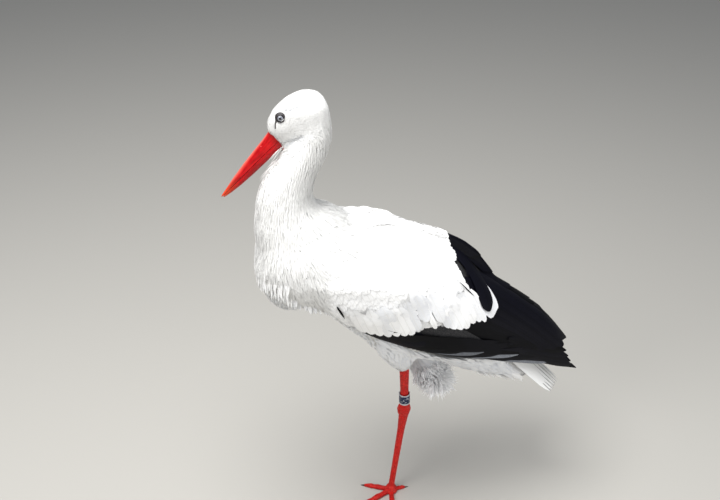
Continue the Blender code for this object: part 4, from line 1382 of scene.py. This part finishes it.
upper_bill = melted(["bill_upper"], "upper_mandible", 0.0008, 14)
lower_bill = melted(["bill_lower"], "lower_mandible", 0.0008, 14)
NOSTRIL_DEPTH, NOSTRIL_WIDTH = 0.0016, 0.0011
local = head_local(read_points(upper_bill))
for side, _ in SIDES:
    slit = np.array(((-0.026, side * 0.0078, 0.0098), (-0.014, side * 0.0088, 0.0112)))
    pressed = np.exp(-((near_line(local, slit)[0] / NOSTRIL_WIDTH) ** 2))
    local -= np.array((0, side, 0.6)) * NOSTRIL_DEPTH * pressed[:, None]
write_points(upper_bill, local @ HEAD_TURN.T + np.array(BILL_BASE))

# %% [markdown]
# ## The bill's finish
# The pattern has to follow the bill, which is tilted and turned. A Mapping node of the Texture kind
# undoes that tilt, so its x runs along the bill and the streaks, the orange tip, the painted highlight
# on the ridge and the dark root are all given in the head's own frame.

# %% Red horn, in the head's own frame
# Horn is waxy: fine streaks along it, a soft shine, a painted highlight along the ridge, and a little
# light let in under the surface
horn, shader = new_material("red_bill_horn")
place = add_node(horn, "TexCoord", pick="Object")
seat = {"Location": BILL_BASE, "Rotation": (0, HEAD_DOWN, HEAD_ROUND)}
turned = add_node(horn, "Mapping", Vector=place, vector_type="TEXTURE", **seat)
axes = add_node(horn, "SeparateXYZ", turned).node.outputs
drawn = add_node(horn, "Mapping", Vector=turned, Scale=(14.0, 300.0, 300.0))  # streaks 3 mm wide
grain = add_node(horn, "TexNoise", Vector=drawn, Scale=1.0, Detail=4.0)
cloud = add_node(horn, "TexNoise", Vector=place, Scale=55.0, Detail=3.0)  # patches of 18 mm
# The pale band along the upper side of the ridge is a painted highlight
off_middle = add_node(horn, "Math", axes[1], operation="ABSOLUTE")
ridge = add_node(horn, "MapRange", off_middle, 0.0020, 0.0068, 0.55, 0.0, **SMOOTH)
above_mid = add_node(horn, "MapRange", axes[2], -0.002, 0.006, **SMOOTH)
reds_and_highlight = (
    (add_node(horn, "MapRange", cloud, 0.42, 0.75, 0.0, 0.4, **SMOOTH), "DC1C1C"),  # lighter clouds
    (add_node(horn, "MapRange", axes[0], -0.100, -0.156, 0.0, 0.85, **SMOOTH), "E4502A"),  # orange tip
    (add_node(horn, "Math", ridge, above_mid, operation="MULTIPLY"), "F28A78"),  # painted highlight along the ridge
    (add_node(horn, "MapRange", axes[0], -0.010, 0.004, 0.0, 0.55, **SMOOTH), "8F130E"),  # dark root
)
share = add_node(horn, "MapRange", grain, 0.35, 0.72, **SMOOTH)
tint = add_node(horn, "Mix", share, _6=colour("A0040C"), _7=colour("CC0A12"), **COLOURS)
for share, code in reds_and_highlight:
    tint = add_node(horn, "Mix", share, _6=tint, _7=colour(code), **COLOURS)
gloss = add_node(horn, "MapRange", grain, 0.3, 0.8, 0.28, 0.48, **SMOOTH)
relief = add_node(horn, "Bump", Strength=0.5, Distance=0.0003, Height=grain)
FLESH["Subsurface_Radius"] = (0.004, 0.0010, 0.0007)
finish(shader, tint, gloss, relief, Specular_IOR_Level=0.28, Subsurface_Weight=0.08, **FLESH)
for piece in (upper_bill, lower_bill):
    piece.data.materials.append(horn)
print("horn nodes", len(horn.node_tree.nodes))

# %% [markdown]
# ## Eyes
# The eye is a ball set deep in the head, of which the lids leave only the middle open. Its colours go
# by distance from the way it looks: black pupil, grey-brown iris with fine spokes, dark rim. A clear
# wet coat gives the highlight. The lids are a band of a slightly larger ball, thickened outwards.


# %% Balls and lids
def ball(name, side, radius, segments, rings):
    """A ball at an eye, with its pole turned outwards."""
    select_only(skin)
    bpy.ops.mesh.primitive_uv_sphere_add(segments=segments, ring_count=rings, radius=radius)
    obj = bpy.context.object
    obj.name = obj.data.name = name
    obj.data.transform(Matrix.Rotation(math.radians(-90 * side), 4, "X"))
    return obj


def settle(obj, side):
    """Carries a piece made at the eye's centre to its place in the head."""
    obj.data.transform(HEAD @ Matrix.Translation((EYE_AT.x, side * EYE_AT.y, EYE_AT.z)))
    bpy.ops.object.shade_smooth()
    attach(obj, "root")


PUPIL_BULGE, LID_WALL = 0.0007, 0.0009
LID_OPENING = (0.0056, 0.0049)  # half its length and half its height
eye_balls, eye_lids = [], []
for side, label in SIDES:
    eye_ball = ball(f"eyeball_{label}", side, EYE_RADIUS, 64, 48)
    points = read_points(eye_ball)
    off_axis = np.degrees(np.arccos(np.clip(points[:, 1] * side / EYE_RADIUS, -1, 1)))
    points += unit(points) * PUPIL_BULGE * np.clip(1 - off_axis / 34, 0, 1)[:, None] ** 0.5
    write_points(eye_ball, points)
    point_values(eye_ball.data, "off_axis", off_axis)
    point_values(eye_ball.data, "spoke", np.abs(np.arctan2(points[:, 2], points[:, 0])))
    settle(eye_ball, side)
    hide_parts(f"eye_{label}")
    eye_balls.append(eye_ball)

    lids = ball(f"eyelids_{label}", side, EYE_RADIUS + 0.0004, 64, 48)
    points = read_points(lids)
    opening = (points[:, 0] / LID_OPENING[0]) ** 2 + (points[:, 2] / LID_OPENING[1]) ** 2
    facing = points[:, 1] * side
    bm = bmesh.new()
    bm.from_mesh(lids.data)
    bm.verts.ensure_lookup_table()
    gone = [bm.verts[k] for k in np.flatnonzero((opening < 1) | (facing < 0.0032))]
    bmesh.ops.delete(bm, geom=gone, context="VERTS")
    bm.to_mesh(lids.data)
    bm.free()
    wall = lids.modifiers.new("wall", "SOLIDIFY")
    wall.thickness = LID_WALL
    wall.offset = 1
    soft = lids.modifiers.new("soft", "SUBSURF")
    soft.levels = soft.render_levels = 1
    apply_modifiers(lids)
    settle(lids, side)
    eye_lids.append(lids)

# %% [markdown]
# ## The finish of eyes and lids
# The iris follows two numbers on the ball's points: the angle off the way it looks, in degrees, which
# makes the rings, and the angle round it, which makes the spokes. Numbers on points need no image.

# %% Eye and lid materials
# A wet ball: dark and glossy, with a clear coat that gives the sharp highlight
wet_eye, shader = new_material("wet_eye")
off_axis = add_node(wet_eye, "Attribute", attribute_name="off_axis", pick="Fac")
spoke = add_node(wet_eye, "Attribute", attribute_name="spoke", pick="Fac")
spokes = add_node(wet_eye, "CombineXYZ", spoke, off_axis)
spokes = add_node(wet_eye, "VectorMath", spokes, (9.0, 0.05, 0.0), operation="MULTIPLY")
spokes = add_node(wet_eye, "TexNoise", Vector=spokes, Scale=1.6, Detail=3.0)
share = add_node(wet_eye, "MapRange", spokes, 0.35, 0.7, **SMOOTH)
iris = add_node(wet_eye, "Mix", share, _6=colour("6C6E78"), _7=colour("A8ABB4"), **COLOURS)
rim = add_node(wet_eye, "MapRange", off_axis, 26.0, 33.0, **SMOOTH)
iris = add_node(wet_eye, "Mix", rim, _6=iris, _7=colour("1E1B1D"), **COLOURS)
pupil_edge = add_node(wet_eye, "MapRange", off_axis, 12.0, 14.0, **SMOOTH)
tint = add_node(wet_eye, "Mix", pupil_edge, _6=colour("050506"), _7=iris, **COLOURS)
finish(shader, tint, 0.06, Coat_Weight=1.0, Coat_Roughness=0.02)

# Lid skin is matt and finely wrinkled, in folds about 0.7 mm apart
dark_lid, shader = new_material("dark_lid_skin")
place = add_node(dark_lid, "TexCoord", pick="Object")
folds = add_node(dark_lid, "TexVoronoi", Vector=place, Scale=1400.0, feature="DISTANCE_TO_EDGE")
share = add_node(dark_lid, "MapRange", folds, 0.0, 0.25, **SMOOTH)
tint = add_node(dark_lid, "Mix", share, _6=colour("1C191A"), _7=colour("3A3537"), **COLOURS)
finish(shader, tint, 0.55, add_node(dark_lid, "Bump", Strength=0.8, Distance=0.0002, Height=folds))
for eye_ball, lids in zip(eye_balls, eye_lids):
    eye_ball.data.materials.append(wet_eye)
    lids.data.materials.append(dark_lid)
print("eyes and lids", [len(o.data.polygons) for o in (*eye_balls, *eye_lids)])

# %% [markdown]
# ## Claws and leg ring
# The claws are short, blunt and dark. The ring is a plain closed tube of aluminium, dyed dark, with its
# edges worn back to bare metal. It carries no lettering.

# %% Claws
claw_names = [n for n in nodes if n.startswith("claw_")]
claws = melted(claw_names, "claws", 0.0005, 8)
# Claw horn is dark and dull, in thin layers that wear unevenly
claw_horn, shader = new_material("dark_claw_horn")
place = add_node(claw_horn, "TexCoord", pick="Object")
layers = add_node(claw_horn, "TexNoise", Vector=place, Scale=600.0, Detail=3.0)  # 1.7 mm flakes
share = add_node(claw_horn, "MapRange", layers, 0.35, 0.7, **SMOOTH)
tint = add_node(claw_horn, "Mix", share, _6=colour("2A1D18"), _7=colour("5A4238"), **COLOURS)
finish(shader, tint, 0.45, add_node(claw_horn, "Bump", Strength=0.5, Distance=0.0002, Height=layers))
claws.data.materials.append(claw_horn)

# %% [markdown]
# ## The leg ring
# The ring is an open tube. Solidify gives it its wall and Bevel softens both rims, as on a rolled
# band. It is tilted along the bare shin, between heel and thigh.

# %% Ring
RING_RADIUS, RING_HEIGHT, RING_WALL = 0.0110, 0.0244, 0.0014
ring_low, ring_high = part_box("leg_ring")
select_only(skin)
tube = {"radius": RING_RADIUS, "depth": RING_HEIGHT, "end_fill_type": "NOTHING"}
bpy.ops.mesh.primitive_cylinder_add(vertices=96, **tube)
ring = bpy.context.object
ring.name = ring.data.name = "plain_leg_ring"
wall = ring.modifiers.new("wall", "SOLIDIFY")
wall.thickness = RING_WALL
wall.offset = -1
edge = ring.modifiers.new("edge", "BEVEL")
edge.width = 0.0004
edge.segments = 3
apply_modifiers(ring)
centre = (Vector(ring_low) + Vector(ring_high)) / 2
turn = Vector((0, 0, 1)).rotation_difference((TIBIA_TOP - HEEL).normalized()).to_matrix().to_4x4()
ring.data.transform(Matrix.Translation(centre) @ turn)
faces_out()
bpy.ops.object.shade_smooth_by_angle(angle=math.radians(40))
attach(ring, "root")
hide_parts("leg_ring")
# Dyed aluminium has a satin shine; its rims and scuffs are bare, pale metal
dyed_metal, shader = new_material("dyed_aluminium")
place = add_node(dyed_metal, "TexCoord", pick="Object")
band = add_node(dyed_metal, "Mapping", Vector=place, Location=centre, vector_type="TEXTURE")
up_band = add_node(dyed_metal, "SeparateXYZ", band, pick=2)
off_middle = add_node(dyed_metal, "Math", up_band, operation="ABSOLUTE")
rim = add_node(dyed_metal, "MapRange", off_middle, 0.0085, 0.0100, **SMOOTH)
rubbed = add_node(dyed_metal, "TexNoise", Vector=place, Scale=260.0, Detail=5.0)  # 4 mm scuffs
scuffs = add_node(dyed_metal, "MapRange", rubbed, 0.56, 0.66, 0.0, 0.75, **SMOOTH)
worn = add_node(dyed_metal, "Math", rim, scuffs, operation="MAXIMUM")
tint = add_node(dyed_metal, "Mix", worn, _6=colour("26304E"), _7=colour("C9CCD2"), **COLOURS)
gloss = add_node(dyed_metal, "MapRange", rubbed, 0.3, 0.7, 0.3, 0.5, **SMOOTH)
relief = add_node(dyed_metal, "Bump", Strength=0.4, Distance=0.0001, Height=rubbed)
finish(shader, tint, gloss, relief, Metallic=0.75)
ring.data.materials.append(dyed_metal)
print("ring", [round(c, 3) for c in centre])

# %% [markdown]
# ## Floor, light and camera
# A plain pale floor, one broad soft light overhead, a weaker one from the front, a low one behind that
# opens the shade under the belly, and an even sky.

# %% Floor, light and camera
select_only(skin)
bpy.ops.mesh.primitive_plane_add(size=14, location=(0, 0, 0))
floor = bpy.context.object
floor.name = floor.data.name = "floor"
pale_floor, shader = new_material("pale_floor")
finish(shader, colour("B9B6AF"), 0.9)
floor.data.materials.append(pale_floor)


def soft_light(name, place, aim, size, power):
    lamp = bpy.data.lights.new(name, "AREA")
    lamp.shape = "DISK"
    lamp.size = size
    lamp.energy = power
    obj = bpy.data.objects.new(name, lamp)
    obj.location = place
    obj.rotation_euler = (Vector(aim) - Vector(place)).to_track_quat("-Z", "Y").to_euler()
    bpy.context.scene.collection.objects.link(obj)


soft_light("overhead", (-0.6, -0.4, 3.0), (0, 0, 0.4), 2.2, 112)
soft_light("front", (-2.4, -1.3, 2.2), (-0.10, 0, 0.65), 1.6, 34)
soft_light("low", (1.2, -1.5, 0.40), (0.15, 0, 0.28), 1.0, 12)

world = bpy.data.worlds.new("studio")
bpy.context.scene.world = world
world.use_nodes = True
world.node_tree.nodes["Background"].inputs[0].default_value = (0.84, 0.90, 1.0, 1.0)
world.node_tree.nodes["Background"].inputs[1].default_value = 0.27

camera = bpy.data.objects.new("camera", bpy.data.cameras.new("camera"))
bpy.context.scene.collection.objects.link(camera)
camera.location = (-0.514, -1.554, 1.535)
camera.rotation_euler = (math.radians(60), 0, math.radians(-16))
camera.data.lens = 51.4
camera.data.sensor_width = 36
bpy.context.scene.camera = camera
bpy.context.scene.view_settings.view_transform = "Standard"
lamps = [lamp.name for lamp in bpy.data.lights]
print("lights", lamps, "camera at", [round(c, 2) for c in camera.location])

# %% The end: the guide form goes
bpy.data.objects.remove(form)
